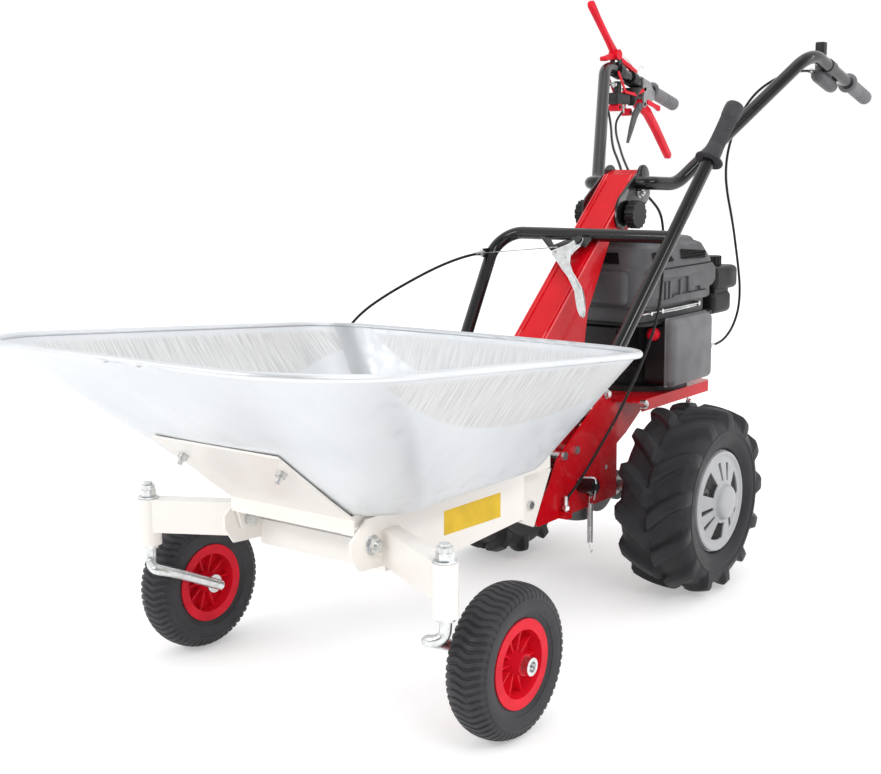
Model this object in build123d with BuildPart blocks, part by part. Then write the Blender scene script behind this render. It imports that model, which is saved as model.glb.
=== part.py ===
# Power barrow: a walk-behind power unit that pushes a tipping tray on two swivelling front wheels.
# Millimetres. X points forward, Y to the machine's left, Z up. Stations along X are measured from the
# rear axle line while modelling. The finished pieces are moved so that the origin lies on the ground,
# half-way along the machine.
import os
from math import atan, atan2, cos, degrees, hypot, pi, radians, sin, tan

from build123d import *

os.makedirs("parts", exist_ok=True)

# Overall reach from the rear axle
FRONT_REACH = 1359.0  # to the front of the tray lip
REAR_REACH = 884.0  # to the ends of the handle grips

# Fits and gaps
RUN_CLEAR = 0.05  # radial clearance where a shaft turns in a hole
SEAT_CLEAR = 0.1  # radial clearance where a fixed piece sits on another
SLIP_GAP = 0.6  # gap between faces that move past each other

# Drive wheels
REAR_TYRE_R = 203.0
REAR_TYRE_W = 165.0
REAR_TRACK = 497.0
REAR_BEAD_R = 102.0
REAR_BEAD_W = 120.0
TYRE_WALL = 9.0
LUG_HEIGHT = 19.0
LUG_WIDTH = 23.0
LUG_COUNT = 13  # on each half of the tread
LUG_ANGLE = 40.0  # of a lug to the wheel's axle
HUB_CAP_R = 108.0
HUB_CAP_OUT = 74.0  # from the wheel's middle plane to the cap's rim
RIM_SHEET = 4.0

# Drive axle and gearbox
AXLE_R = 12.5
BEARING_R = 26.0
BEARING_W = 15.0
WORM_TEETH = 30
MODULE = 3.5
WORM_R = 16.0  # pitch radius of the worm
WORM_SHAFT_R = 9.0
WHEEL_FACE = 22.0  # width of the worm wheel's teeth
CASE_WALL = 7.0
CASE_HALF_W = 70.0
PULLEY_R = 40.0  # belt pulley on the worm shaft
CRANK_PULLEY_R = 28.0
BELT_W = 12.0
BELT_H = 8.0
BELT_Z = 366.0

# Hitch plates, deck and column
HITCH_Y = 75.0  # outer faces of the hitch plates
HITCH_SHEET = 5.0
HITCH_LOW_Z = 184.0
DECK_Z = 400.0  # top of the engine deck
DECK_SHEET = 4.0
DECK_HALF_W = 122.0
DECK_REAR_X = -345.0
DECK_FRONT_X = 12.0
DECK_SKIRT = 26.0
COLUMN_HALF_W = 40.0
COLUMN_SHEET = 4.0
COLUMN_TOP = (-113.3, 890.5)  # X and Z of the front face at its top
COLUMN_FOOT = (252.7, 560.5)  # and where it turns down

# Engine
CRANK_X = -200.0
CRANK_R = 12.5
CASE_R = 72.0  # crankcase
BASE_R = 118.0
BASE_H = 12.0
BLOCK_TOP_Z = 566.0
SHROUD_TOP_Z = 746.0
SHROUD_FRONT_X = -18.0
SHROUD_REAR_X = -378.0
SHROUD_HALF_W = 118.0
SHROUD_SHEET = 3.0
FLYWHEEL_R = 78.0
FLYWHEEL_Z = 602.0
FLYWHEEL_H = 22.0
AIRBOX_FRONT_X = -100.0
AIRBOX_REAR_X = -296.0
AIRBOX_Y = 78.0  # inner face
AIRBOX_DEPTH = 48.0
AIRBOX_LOW_Z = 420.0
AIRBOX_TOP_Z = 559.0
COVER_TOP_Z = 572.0
COVER_DEPTH = 26.0
PRIMER_R = 15.0

# Cart frame and casters
PLATE_Y = 150.0  # outer faces of the side plates
PLATE_SHEET = 5.0
PLATE_TOP_Z = 353.0
PLATE_REAR_X = 497.0  # where the plates bend in towards the hitch
PIVOT_X = 946.0  # tipping pivot
PIVOT_Z = 308.0
PIVOT_R = 8.0
CASTER_X = 1000.0
CASTER_Y = 344.0
CASTER_TRAIL = 134.0
CASTER_OFFSET = 20.0  # wheel plane outboard of the swivel
CASTER_R = 130.0
CASTER_W = 76.0
CASTER_BEAD_R = 62.0
CASTER_BEAD_W = 56.0
CASTER_FLANGE_R = 75.0
ROD_R = 9.0
SLEEVE_R = 21.0
ARM_GAP = 5.0  # from the caster tyre to the arm above it
ARM_H = 62.0
ARM_W = 34.0
ARM_SHEET = 4.0
SLEEVE_DROP = 26.0  # of the sleeve below the arm

# Tray and tipping frame
TRAY_FLOOR_Z = 362.0  # underside of the floor
TRAY_SHEET = 1.6
TRAY_BEAD_R = 6.5
RIM_SLOPE = 4.75  # degrees, the lip rises towards the front
RIM_Z = 616.0  # of the wall's top edge at RIM_X
RIM_X = 840.0
RIM_REAR_X = 408.5
RIM_HALF_W = 404.5
RIM_FRONT_BOW = 14.0
RIM_REAR_BOW = 36.0
RIM_FRONT_CORNER = 195.0
RIM_REAR_CORNER = 110.0
FLOOR_FRONT_X = 985.0
FLOOR_REAR_X = 500.0
FLOOR_HALF_W = 218.0
FLOOR_FRONT_CORNER = 110.0
FLOOR_REAR_CORNER = 80.0
FLOOR_FILLET = 48.0
PANEL_X = 742.0  # middle of the flat panel pressed into the floor between the rails
PANEL_L = 390.0
PANEL_W = 204.0
PANEL_CORNER = 30.0
PANEL_RISE = 1.0
RAIL_Y = 125.0
RAIL_W = 24.0
RAIL_H = 34.0
CROSS_X = 400.0  # rear cross tube of the tipping frame
CROSS_LEFT = 134.0  # how far it reaches to each side
CROSS_RIGHT = 184.0
HANDLE_R = 14.0
HANDLE_WALL = 2.0
LEG_LEAN = 0.767  # rearward travel of a leg for each unit of height
LEG_SPREAD = 0.137  # outward travel of a leg for each unit of height
BAR_X = 52.0  # crossbar
BAR_Z = 765.0
BAR_Y = 221.0  # legs' half spread at the crossbar
LEG_TOP_Z = 1035.0
LEG_KNEE_Z = 540.0
GRIP_LENGTH = 150.0
GRIP_R = 19.0

# Handlebar
BAR_TUBE_R = 15.0
BAR_TUBE_WALL = 2.0
HEIGHT_PIVOT = (-122.0, 850.0)  # X and Z of the handlebar's height adjustment
CLAMP = (-72.0, 804.0)  # X and Z of the clamp rod
HEIGHT_RANGE = 12.0  # degrees each way
BRACKET_SHEET = 5.0
CLAMP_ROD_R = 5.0
KNOB_R = 31.0
HAND_GRIP_R = 17.5
HAND_GRIP_LENGTH = 132.0

# Derived heights
AXLE_Z = REAR_TYRE_R
CASTER_Z = CASTER_R
ARM_LOW_Z = 2 * CASTER_R + ARM_GAP
ARM_TOP_Z = ARM_LOW_Z + ARM_H
DECK_LOW_Z = DECK_Z - DECK_SHEET
REAR_AXIS = Axis((0, 0, AXLE_Z), (0, 1, 0))

pieces = {}


def tube(points, bends, outer_r, inner_r=0.0):
    """A round tube or rod along straight runs joined by tangent bends."""
    with BuildLine() as route:
        FilletPolyline(*points, radius=bends)
    path = route.wires()[0]
    with BuildPart() as piece:
        with BuildSketch(Plane(origin=path @ 0, z_dir=path % 0)):
            Circle(outer_r)
            if inner_r:
                Circle(inner_r, mode=Mode.SUBTRACT)
        sweep(path=path)
    return piece


def mirrored(piece):
    """The same piece for the machine's right side."""
    with BuildPart() as other:
        mirror(piece.part, about=Plane.XZ)
    return other


# Tyres
def ring(plane, axis, half_w, crown_r, bead_half, bead_r, bead_top, shoulder_half, shoulder_r):
    """A solid tyre shape: the plane's x runs across the tread and its y up from the axle."""
    side_r = (bead_top + shoulder_r) / 2
    with BuildPart() as body:
        with BuildSketch(plane):
            with BuildLine():
                Line((-bead_half, bead_r), (-bead_half, bead_top))
                ThreePointArc((-bead_half, bead_top), (-half_w, side_r), (-shoulder_half, shoulder_r))
                ThreePointArc((-shoulder_half, shoulder_r), (0, crown_r), (shoulder_half, shoulder_r))
                ThreePointArc((shoulder_half, shoulder_r), (half_w, side_r), (bead_half, bead_top))
                Line((bead_half, bead_top), (bead_half, bead_r))
                Line((bead_half, bead_r), (-bead_half, bead_r))
            make_face()
        revolve(axis=axis)
    return body.part


REAR_Y = REAR_TRACK / 2
REAR_BEAD_TOP = REAR_BEAD_R + 12
CARCASS_R = REAR_TYRE_R - LUG_HEIGHT
WHEEL_PLANE = Plane(origin=(0, 0, AXLE_Z), x_dir=(0, 1, 0), z_dir=(1, 0, 0))

with BuildPart() as lug_envelope:
    with BuildSketch(WHEEL_PLANE):
        with BuildLine():
            Polyline(
                (REAR_Y - REAR_TYRE_W / 2, CARCASS_R - 45),
                (REAR_Y - REAR_TYRE_W / 2, REAR_TYRE_R - 26),
                (REAR_Y - REAR_TYRE_W / 2 + 9, REAR_TYRE_R - 8),
            )
            ThreePointArc(
                (REAR_Y - REAR_TYRE_W / 2 + 9, REAR_TYRE_R - 8),
                (REAR_Y, REAR_TYRE_R),
                (REAR_Y + REAR_TYRE_W / 2 - 9, REAR_TYRE_R - 8),
            )
            Polyline(
                (REAR_Y + REAR_TYRE_W / 2 - 9, REAR_TYRE_R - 8),
                (REAR_Y + REAR_TYRE_W / 2, REAR_TYRE_R - 26),
                (REAR_Y + REAR_TYRE_W / 2, CARCASS_R - 45),
                (REAR_Y - REAR_TYRE_W / 2, CARCASS_R - 45),
            )
        make_face()
    revolve(axis=REAR_AXIS)

LUG_LENGTH = REAR_TYRE_W / 2 / cos(radians(LUG_ANGLE)) + 6
LUG_DEPTH = LUG_HEIGHT + 30
LUG_SPOTS = [
    (half, (step + (0 if half > 0 else 0.5)) * 360 / LUG_COUNT) for half in (1, -1) for step in range(LUG_COUNT)
]


def lug(half):
    """One tread lug at the top of the wheel, running from the tread's middle out to one shoulder."""
    middle_y = REAR_Y + half * REAR_TYRE_W / 4
    with BuildPart() as bar:
        with Locations(Location((0, middle_y, AXLE_Z + REAR_TYRE_R - LUG_DEPTH / 2), (0, 0, half * LUG_ANGLE))):
            Box(LUG_WIDTH, LUG_LENGTH, LUG_DEPTH)
    return bar.part


with BuildPart() as lugs:
    add([lug(half).rotate(REAR_AXIS, angle) for half, angle in LUG_SPOTS])
    add(lug_envelope.part, mode=Mode.INTERSECT)

REAR_WALL_W = REAR_TYRE_W / 2 - 3  # half width of the carcass
REAR_SHOULDER_W = REAR_TYRE_W / 2 - 16
TYRE_PLANE = Plane(origin=(0, REAR_Y, AXLE_Z), x_dir=(0, 1, 0), z_dir=(1, 0, 0))
rear_carcass = ring(
    TYRE_PLANE, REAR_AXIS, REAR_WALL_W, CARCASS_R, REAR_BEAD_W / 2, REAR_BEAD_R, REAR_BEAD_TOP,
    REAR_SHOULDER_W, CARCASS_R - 12,
)
rear_hollow = ring(
    TYRE_PLANE, REAR_AXIS, REAR_WALL_W - TYRE_WALL, CARCASS_R - TYRE_WALL, REAR_BEAD_W / 2 - TYRE_WALL,
    REAR_BEAD_R, REAR_BEAD_TOP, REAR_SHOULDER_W - TYRE_WALL, CARCASS_R - 12 - TYRE_WALL,
)
with BuildPart() as rear_tyre_left:
    add(rear_carcass)
    add(lugs.part)
    add(rear_hollow, mode=Mode.SUBTRACT)
pieces["rear_tyre_left"] = rear_tyre_left
pieces["rear_tyre_right"] = mirrored(rear_tyre_left)

# Rear rims: a steel drop-centre ring with a dished disc that is bolted to the axle's hub
FLANGE_R = REAR_BEAD_TOP - 2
DISC_Y = REAR_Y + 18  # disc, outboard of the wheel's middle
HUB_R = 38.0
with BuildPart() as rear_rim:
    with BuildSketch(WHEEL_PLANE):
        with BuildLine():
            Polyline(
                (REAR_Y - REAR_BEAD_W / 2 - RIM_SHEET, FLANGE_R),
                (REAR_Y - REAR_BEAD_W / 2, FLANGE_R),
                (REAR_Y - REAR_BEAD_W / 2, REAR_BEAD_R),
                (REAR_Y - 30, REAR_BEAD_R),
                (REAR_Y - 22, REAR_BEAD_R - 14),
                (REAR_Y + 22, REAR_BEAD_R - 14),
                (REAR_Y + 30, REAR_BEAD_R),
                (REAR_Y + REAR_BEAD_W / 2, REAR_BEAD_R),
                (REAR_Y + REAR_BEAD_W / 2, FLANGE_R),
                (REAR_Y + REAR_BEAD_W / 2 + RIM_SHEET, FLANGE_R),
                (REAR_Y + REAR_BEAD_W / 2 + RIM_SHEET, REAR_BEAD_R - RIM_SHEET),
                (REAR_Y + 32, REAR_BEAD_R - RIM_SHEET),
                (DISC_Y + RIM_SHEET, REAR_BEAD_R - 18),
                (DISC_Y + RIM_SHEET, AXLE_R + SEAT_CLEAR),
                (DISC_Y, AXLE_R + SEAT_CLEAR),
                (DISC_Y, REAR_BEAD_R - 18),
                (REAR_Y - 26, REAR_BEAD_R - 18),
                (REAR_Y - 34, REAR_BEAD_R - RIM_SHEET),
                (REAR_Y - REAR_BEAD_W / 2 - RIM_SHEET, REAR_BEAD_R - RIM_SHEET),
                close=True,
            )
        make_face()
    revolve(axis=REAR_AXIS)
with BuildPart() as rear_rims:
    add(rear_rim.part)
    mirror(rear_rim.part, about=Plane.XZ)
pieces["rear_rims"] = rear_rims

# Hub caps: pressed discs with a centre dome, a rolled edge and a ring of openings
CAP_SHEET = 3.0
CAP_GROUPS = 6
with BuildPart() as hub_cap:
    with BuildSketch(WHEEL_PLANE):
        with BuildLine():
            Polyline(
                (REAR_Y + REAR_BEAD_W / 2 + RIM_SHEET, REAR_BEAD_R - RIM_SHEET),
                (REAR_Y + HUB_CAP_OUT - 2, HUB_CAP_R),
                (REAR_Y + HUB_CAP_OUT, HUB_CAP_R - 3),
                (REAR_Y + HUB_CAP_OUT - 2, HUB_CAP_R - 12),
                (REAR_Y + HUB_CAP_OUT + 2, 40),
                (REAR_Y + HUB_CAP_OUT + 6, 34),
                (REAR_Y + HUB_CAP_OUT + 8, 14),
                (REAR_Y + HUB_CAP_OUT + 8, 0),
                (REAR_Y + HUB_CAP_OUT + 8 - CAP_SHEET, 0),
                (REAR_Y + HUB_CAP_OUT + 2 - CAP_SHEET, 36),
                (REAR_Y + HUB_CAP_OUT - 2 - CAP_SHEET, HUB_CAP_R - 14),
                (REAR_Y + REAR_BEAD_W / 2 + RIM_SHEET, REAR_BEAD_R - RIM_SHEET - 6),
                (REAR_Y + REAR_BEAD_W / 2 + RIM_SHEET, REAR_BEAD_R - RIM_SHEET),
            )
        make_face()
    revolve(axis=REAR_AXIS)
    with BuildSketch(Plane(origin=(0, REAR_Y + HUB_CAP_OUT - 20, AXLE_Z), x_dir=(1, 0, 0), z_dir=(0, 1, 0))):
        with PolarLocations(0, CAP_GROUPS):
            with Locations((71, 0)):
                Trapezoid(32, 30, 80, rotation=-90)
        with PolarLocations(0, CAP_GROUPS, start_angle=180 / CAP_GROUPS):
            with Locations((70, 8), (70, -8)):
                SlotOverall(40, 6)
    extrude(amount=40, mode=Mode.SUBTRACT)
with BuildPart() as hub_caps:
    add(hub_cap.part)
    mirror(hub_cap.part, about=Plane.XZ)
pieces["hub_caps"] = hub_caps

# Drive axle with a hub flange for each rim
with BuildPart() as drive_axle:
    with Locations(Location((0, 0, AXLE_Z), (90, 0, 0))):
        Cylinder(AXLE_R, 2 * (DISC_Y + 24))
    for side in (1, -1):
        with Locations(Location((0, side * (DISC_Y - 3), AXLE_Z), (90, 0, 0))):
            Cylinder(HUB_R, 6)
        with Locations(Location((0, side * (DISC_Y - 20), AXLE_Z), (90, 0, 0))):
            Cylinder(24, 34)
        with Locations(Location((0, side * (DISC_Y + RIM_SHEET + 7), AXLE_Z), (90, 0, 0))):
            Cylinder(20, 14)
pieces["drive_axle"] = drive_axle

# Worm gear: the wheel on the axle and the upright worm in front of it
WHEEL_R = WORM_TEETH * MODULE / 2
WORM_X = WHEEL_R + WORM_R
WORM_PITCH = pi * MODULE
TOOTH_OUT = MODULE
TOOTH_IN = 1.2 * MODULE
TOOTH_THICK = 3.4  # of a wheel tooth at the pitch circle
THREAD_THICK = 4.6  # of the worm's thread at its pitch circle
FLANK = tan(radians(20))
with BuildPart() as worm_wheel:
    with BuildSketch(Plane(origin=(0, -WHEEL_FACE / 2, AXLE_Z), x_dir=(1, 0, 0), z_dir=(0, 1, 0))):
        Circle(WHEEL_R - TOOTH_IN)
        with PolarLocations(0, WORM_TEETH):
            Polygon(
                (WHEEL_R - TOOTH_IN - 1, TOOTH_THICK / 2 + TOOTH_IN * FLANK),
                (WHEEL_R + TOOTH_OUT, TOOTH_THICK / 2 - TOOTH_OUT * FLANK),
                (WHEEL_R + TOOTH_OUT, -TOOTH_THICK / 2 + TOOTH_OUT * FLANK),
                (WHEEL_R - TOOTH_IN - 1, -TOOTH_THICK / 2 - TOOTH_IN * FLANK),
                align=None,
            )
    extrude(amount=WHEEL_FACE)
    with Locations(Location((0, 0, AXLE_Z), (90, 0, 0))):
        Cylinder(24, WHEEL_FACE + 8)
        Cylinder(AXLE_R + SEAT_CLEAR, WHEEL_FACE + 20, mode=Mode.SUBTRACT)
pieces["worm_wheel"] = worm_wheel

WORM_TURNS = 6
WORM_LOW_Z = AXLE_Z - WORM_PITCH * WORM_TURNS / 2
WORM_CORE_R = WORM_R - TOOTH_IN
WORM_FOOT_Z = AXLE_Z - 62
WORM_TOP_Z = BELT_Z + 20
with BuildPart() as worm_shaft:
    thread_path = Helix(WORM_PITCH, WORM_PITCH * WORM_TURNS, WORM_CORE_R - 0.5, center=(WORM_X, 0, WORM_LOW_Z))
    with BuildSketch(Plane(origin=thread_path @ 0, x_dir=(1, 0, 0), z_dir=thread_path % 0)):
        Polygon(
            (0, THREAD_THICK / 2 + (TOOTH_IN + 0.5) * FLANK),
            (TOOTH_IN + TOOTH_OUT + 0.5, THREAD_THICK / 2 - TOOTH_OUT * FLANK),
            (TOOTH_IN + TOOTH_OUT + 0.5, -THREAD_THICK / 2 + TOOTH_OUT * FLANK),
            (0, -THREAD_THICK / 2 - (TOOTH_IN + 0.5) * FLANK),
            align=None,
        )
    sweep(path=thread_path, is_frenet=True)
    with BuildSketch(Plane(origin=(WORM_X, 0, 0), x_dir=(1, 0, 0), z_dir=(0, -1, 0))):
        with BuildLine():
            Polyline(
                (0, WORM_FOOT_Z),
                (WORM_SHAFT_R, WORM_FOOT_Z),
                (WORM_SHAFT_R, WORM_LOW_Z - 8),
                (WORM_CORE_R, WORM_LOW_Z - 8),
                (WORM_CORE_R, 2 * AXLE_Z - WORM_LOW_Z + 8),
                (WORM_SHAFT_R, 2 * AXLE_Z - WORM_LOW_Z + 8),
                (WORM_SHAFT_R, BELT_Z - 16),
                (20, BELT_Z - 16),
                (20, BELT_Z - BELT_H / 2 - 5),
                (PULLEY_R + BELT_W / 2, BELT_Z - BELT_H / 2 - 5),
                (PULLEY_R + BELT_W / 2, BELT_Z - BELT_H / 2 - 1.5),
                (PULLEY_R - BELT_W / 2, BELT_Z - BELT_H / 2 - 0.5),
                (PULLEY_R - BELT_W / 2, BELT_Z + BELT_H / 2 + 0.5),
                (PULLEY_R + BELT_W / 2, BELT_Z + BELT_H / 2 + 1.5),
                (PULLEY_R + BELT_W / 2, BELT_Z + BELT_H / 2 + 5),
                (14, BELT_Z + BELT_H / 2 + 5),
                (14, WORM_TOP_Z),
                (0, WORM_TOP_Z),
                close=True,
            )
        make_face()
    revolve(axis=Axis((WORM_X, 0, 0), (0, 0, 1)))
pieces["worm_shaft"] = worm_shaft

# Drive belt between the two pulleys
BELT_GAP = 0.5
with BuildPart() as drive_belt:
    with BuildSketch(Plane.XY.offset(BELT_Z - BELT_H / 2)):
        with BuildSketch():
            with Locations((WORM_X, 0)):
                Circle(PULLEY_R + BELT_W / 2 - 2)
            with Locations((CRANK_X, 0)):
                Circle(CRANK_PULLEY_R + BELT_W / 2 - 2)
            make_hull()
        with BuildSketch(mode=Mode.SUBTRACT):
            with Locations((WORM_X, 0)):
                Circle(PULLEY_R - BELT_W / 2 + BELT_GAP)
            with Locations((CRANK_X, 0)):
                Circle(CRANK_PULLEY_R - BELT_W / 2 + BELT_GAP)
            make_hull()
    extrude(amount=BELT_H)
pieces["drive_belt"] = drive_belt

# Gearbox housing in two halves
BOLT_R = 5.0
LEG_Y = HITCH_Y - HITCH_SHEET  # inner faces of the hitch plates
CASE_R_IN = WHEEL_R + TOOTH_OUT + 4
CASE_R_OUT = CASE_R_IN + CASE_WALL
DRUM_HALF = WHEEL_FACE / 2 + 12
WORM_BORE = WORM_R + TOOTH_OUT + 4
WORM_CASE_R = WORM_BORE + CASE_WALL
WORM_CASE_LOW = WORM_FOOT_Z - 8
WORM_CASE_TOP = 2 * AXLE_Z - WORM_LOW_Z + 36
MOUNT_LOW = WORM_CASE_TOP - 28
with BuildPart() as gearbox_housing:
    with Locations(Location((0, 0, AXLE_Z), (90, 0, 0))):
        Cylinder(CASE_R_OUT, 2 * DRUM_HALF)
        Cylinder(BEARING_R + CASE_WALL, 2 * CASE_HALF_W)
    with Locations((WORM_X, 0, WORM_CASE_LOW)):
        Cylinder(WORM_CASE_R, WORM_CASE_TOP - WORM_CASE_LOW, align=(Align.CENTER, Align.CENTER, Align.MIN))
    with Locations((WORM_X - 4, 0, MOUNT_LOW)):
        Box(44, 2 * (HITCH_Y - HITCH_SHEET), 28, align=(Align.CENTER, Align.CENTER, Align.MIN))
    with Locations(Location((0, 0, AXLE_Z), (90, 0, 0))):
        Cylinder(CASE_R_IN, 2 * (DRUM_HALF - CASE_WALL), mode=Mode.SUBTRACT)
        Cylinder(AXLE_R + 3, 2 * CASE_HALF_W + 2, mode=Mode.SUBTRACT)
    for side in (1, -1):
        with Locations(Location((0, side * (CASE_HALF_W - 2 - BEARING_W / 2), AXLE_Z), (90, 0, 0))):
            Cylinder(BEARING_R + SEAT_CLEAR, BEARING_W, mode=Mode.SUBTRACT)
        with Locations(Location((0, side * (CASE_HALF_W - 1), AXLE_Z), (90, 0, 0))):
            Cylinder(BEARING_R - 4, 2, mode=Mode.SUBTRACT)
    with Locations((WORM_X, 0, WORM_LOW_Z - 12)):
        Cylinder(
            WORM_BORE, 2 * (AXLE_Z - WORM_LOW_Z + 12), align=(Align.CENTER, Align.CENTER, Align.MIN),
            mode=Mode.SUBTRACT,
        )
    with Locations((WORM_X, 0, WORM_FOOT_Z - 1)):
        Cylinder(
            WORM_SHAFT_R + RUN_CLEAR, WORM_CASE_TOP - WORM_FOOT_Z + 2,
            align=(Align.CENTER, Align.CENTER, Align.MIN),
            mode=Mode.SUBTRACT,
        )
    for side in (1, -1):
        with Locations(Location((WORM_X - 4, side * LEG_Y, MOUNT_LOW + 14), (90 * side, 0, 0))):
            Cylinder(BOLT_R + SEAT_CLEAR, 24, align=(Align.CENTER, Align.CENTER, Align.MIN), mode=Mode.SUBTRACT)
    split(bisect_by=Plane.XZ, keep=Keep.BOTH)
pieces["gearbox_housing"] = gearbox_housing

with BuildPart() as axle_bearings:
    for side in (1, -1):
        with Locations(Location((0, side * (CASE_HALF_W - 2 - BEARING_W / 2), AXLE_Z), (90, 0, 0))):
            Cylinder(BEARING_R, BEARING_W)
            Cylinder(AXLE_R + RUN_CLEAR, BEARING_W, mode=Mode.SUBTRACT)
pieces["axle_bearings"] = axle_bearings

# Hitch plates, one on each side of the column's foot
PLATE_BOLTS = [(240, 316), (193, 320)]  # X and Z of the two bolts through the column's foot
DECK_BOLT = (42, 345)
CASE_BOLT = (WORM_X - 4, MOUNT_LOW + 14)
PIN = (172, 240)  # X and Z of the coupler's cross pin
PIN_R = 9.0
with BuildPart() as hitch_plate_left:
    with BuildSketch(Plane.XZ.offset(-HITCH_Y)):
        with BuildLine():
            FilletPolyline(
                (18, 380), (71, 425), (261, 311), (292, 260), (320, 232), (346, HITCH_LOW_Z),
                (18, HITCH_LOW_Z),
                radius=8, close=True,
            )
        make_face()
        with Locations(*PLATE_BOLTS, DECK_BOLT, CASE_BOLT):
            Circle(BOLT_R + SEAT_CLEAR, mode=Mode.SUBTRACT)
        with Locations(PIN):
            Circle(PIN_R + SEAT_CLEAR, mode=Mode.SUBTRACT)
    extrude(amount=HITCH_SHEET)
pieces["hitch_plate_right"] = mirrored(hitch_plate_left)
CABLE_STOP = (246.0, 86.0, 199.0)  # where the clutch cable ends, on a block welded to the left plate
with BuildPart() as hitch_plate_stop:
    add(hitch_plate_left.part)
    with Locations((CABLE_STOP[0], HITCH_Y - 1, CABLE_STOP[2])):
        Box(20, 21, 15, align=(Align.CENTER, Align.MIN, Align.MAX))
pieces["hitch_plate_left"] = hitch_plate_stop

# Hitch coupler: a tongue with a cross pin at its rear and a wide block that carries the cart frame
STRIP_Y = 95.0  # inner faces of the cart frame's rear ends
TONGUE_LOW = 226.0
TONGUE_TOP = 274.0
RING_X = 161.0
RING_Y = 94.0
RING_Z = 222.0
BLOCK_X = 405.0
PIN_SLEEVE_R = 17.0
SLEEVE_OUT = 38.0  # how far the pin's sleeves stand out from the hitch plates
with BuildPart() as hitch_coupler:
    with Locations((270, 0, (TONGUE_LOW + TONGUE_TOP) / 2)):
        Box(270, 80, TONGUE_TOP - TONGUE_LOW)
    with Locations((BLOCK_X, 0, (TONGUE_LOW + TONGUE_TOP) / 2)):
        Box(60, 2 * STRIP_Y, TONGUE_TOP - TONGUE_LOW)
    with Locations(Location((PIN[0], 0, PIN[1]), (90, 0, 0))):
        Cylinder(PIN_R, 2 * (HITCH_Y + SLEEVE_OUT + 6))
    for side in (1, -1):
        with Locations(Location((PIN[0], side * (HITCH_Y + SLEEVE_OUT / 2), PIN[1]), (90, 0, 0))):
            Cylinder(PIN_SLEEVE_R, SLEEVE_OUT)
    with Locations(Location((RING_X, RING_Y, RING_Z), (0, 90, 0))):
        Torus(7, 1.6)
    with Locations((RING_X, RING_Y, RING_Z + 10)):
        Box(8, 4, 9)
    with Locations(Location((BLOCK_X, 0, TONGUE_LOW + 24), (90, 0, 0))):
        Cylinder(BOLT_R + SEAT_CLEAR, 2 * STRIP_Y + 2, mode=Mode.SUBTRACT)
pieces["hitch_coupler"] = hitch_coupler

# Red deck that carries the engine, with a skirt and two legs down to the hitch plates
with BuildPart() as engine_plate:
    with BuildSketch(Plane.XY.offset(DECK_LOW_Z)):
        with Locations(((DECK_REAR_X + DECK_FRONT_X) / 2, 0)):
            RectangleRounded(DECK_FRONT_X - DECK_REAR_X, 2 * DECK_HALF_W, 18)
    extrude(amount=DECK_SHEET)
    with BuildSketch(Plane.XY.offset(DECK_Z - DECK_SKIRT)):
        with Locations(((DECK_REAR_X + DECK_FRONT_X) / 2, 0)):
            RectangleRounded(DECK_FRONT_X - DECK_REAR_X, 2 * DECK_HALF_W, 18)
            RectangleRounded(
                DECK_FRONT_X - DECK_REAR_X - 2 * DECK_SHEET, 2 * (DECK_HALF_W - DECK_SHEET), 14,
                mode=Mode.SUBTRACT
            )
        with Locations((DECK_FRONT_X, 0)):
            Rectangle(50, 2 * DECK_HALF_W, mode=Mode.SUBTRACT)
    extrude(amount=DECK_SKIRT)
    for side in (1, -1):
        with BuildSketch(Plane.XZ.offset(-side * LEG_Y)):
            with BuildLine():
                Polyline(
                    (-120, DECK_LOW_Z), (60, DECK_LOW_Z), (60, 318), (20, 296), (-30, 318), (-120, 372),
                    close=True
                )
            make_face()
            with Locations(DECK_BOLT):
                Circle(BOLT_R + SEAT_CLEAR, mode=Mode.SUBTRACT)
        extrude(amount=side * HITCH_SHEET)
    with BuildSketch(Plane.XY.offset(DECK_LOW_Z - 1)):
        with Locations((CRANK_X, 0)):
            Circle(CRANK_PULLEY_R + 10)
    extrude(amount=DECK_SHEET + 2, mode=Mode.SUBTRACT)
pieces["engine_plate"] = engine_plate

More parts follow.
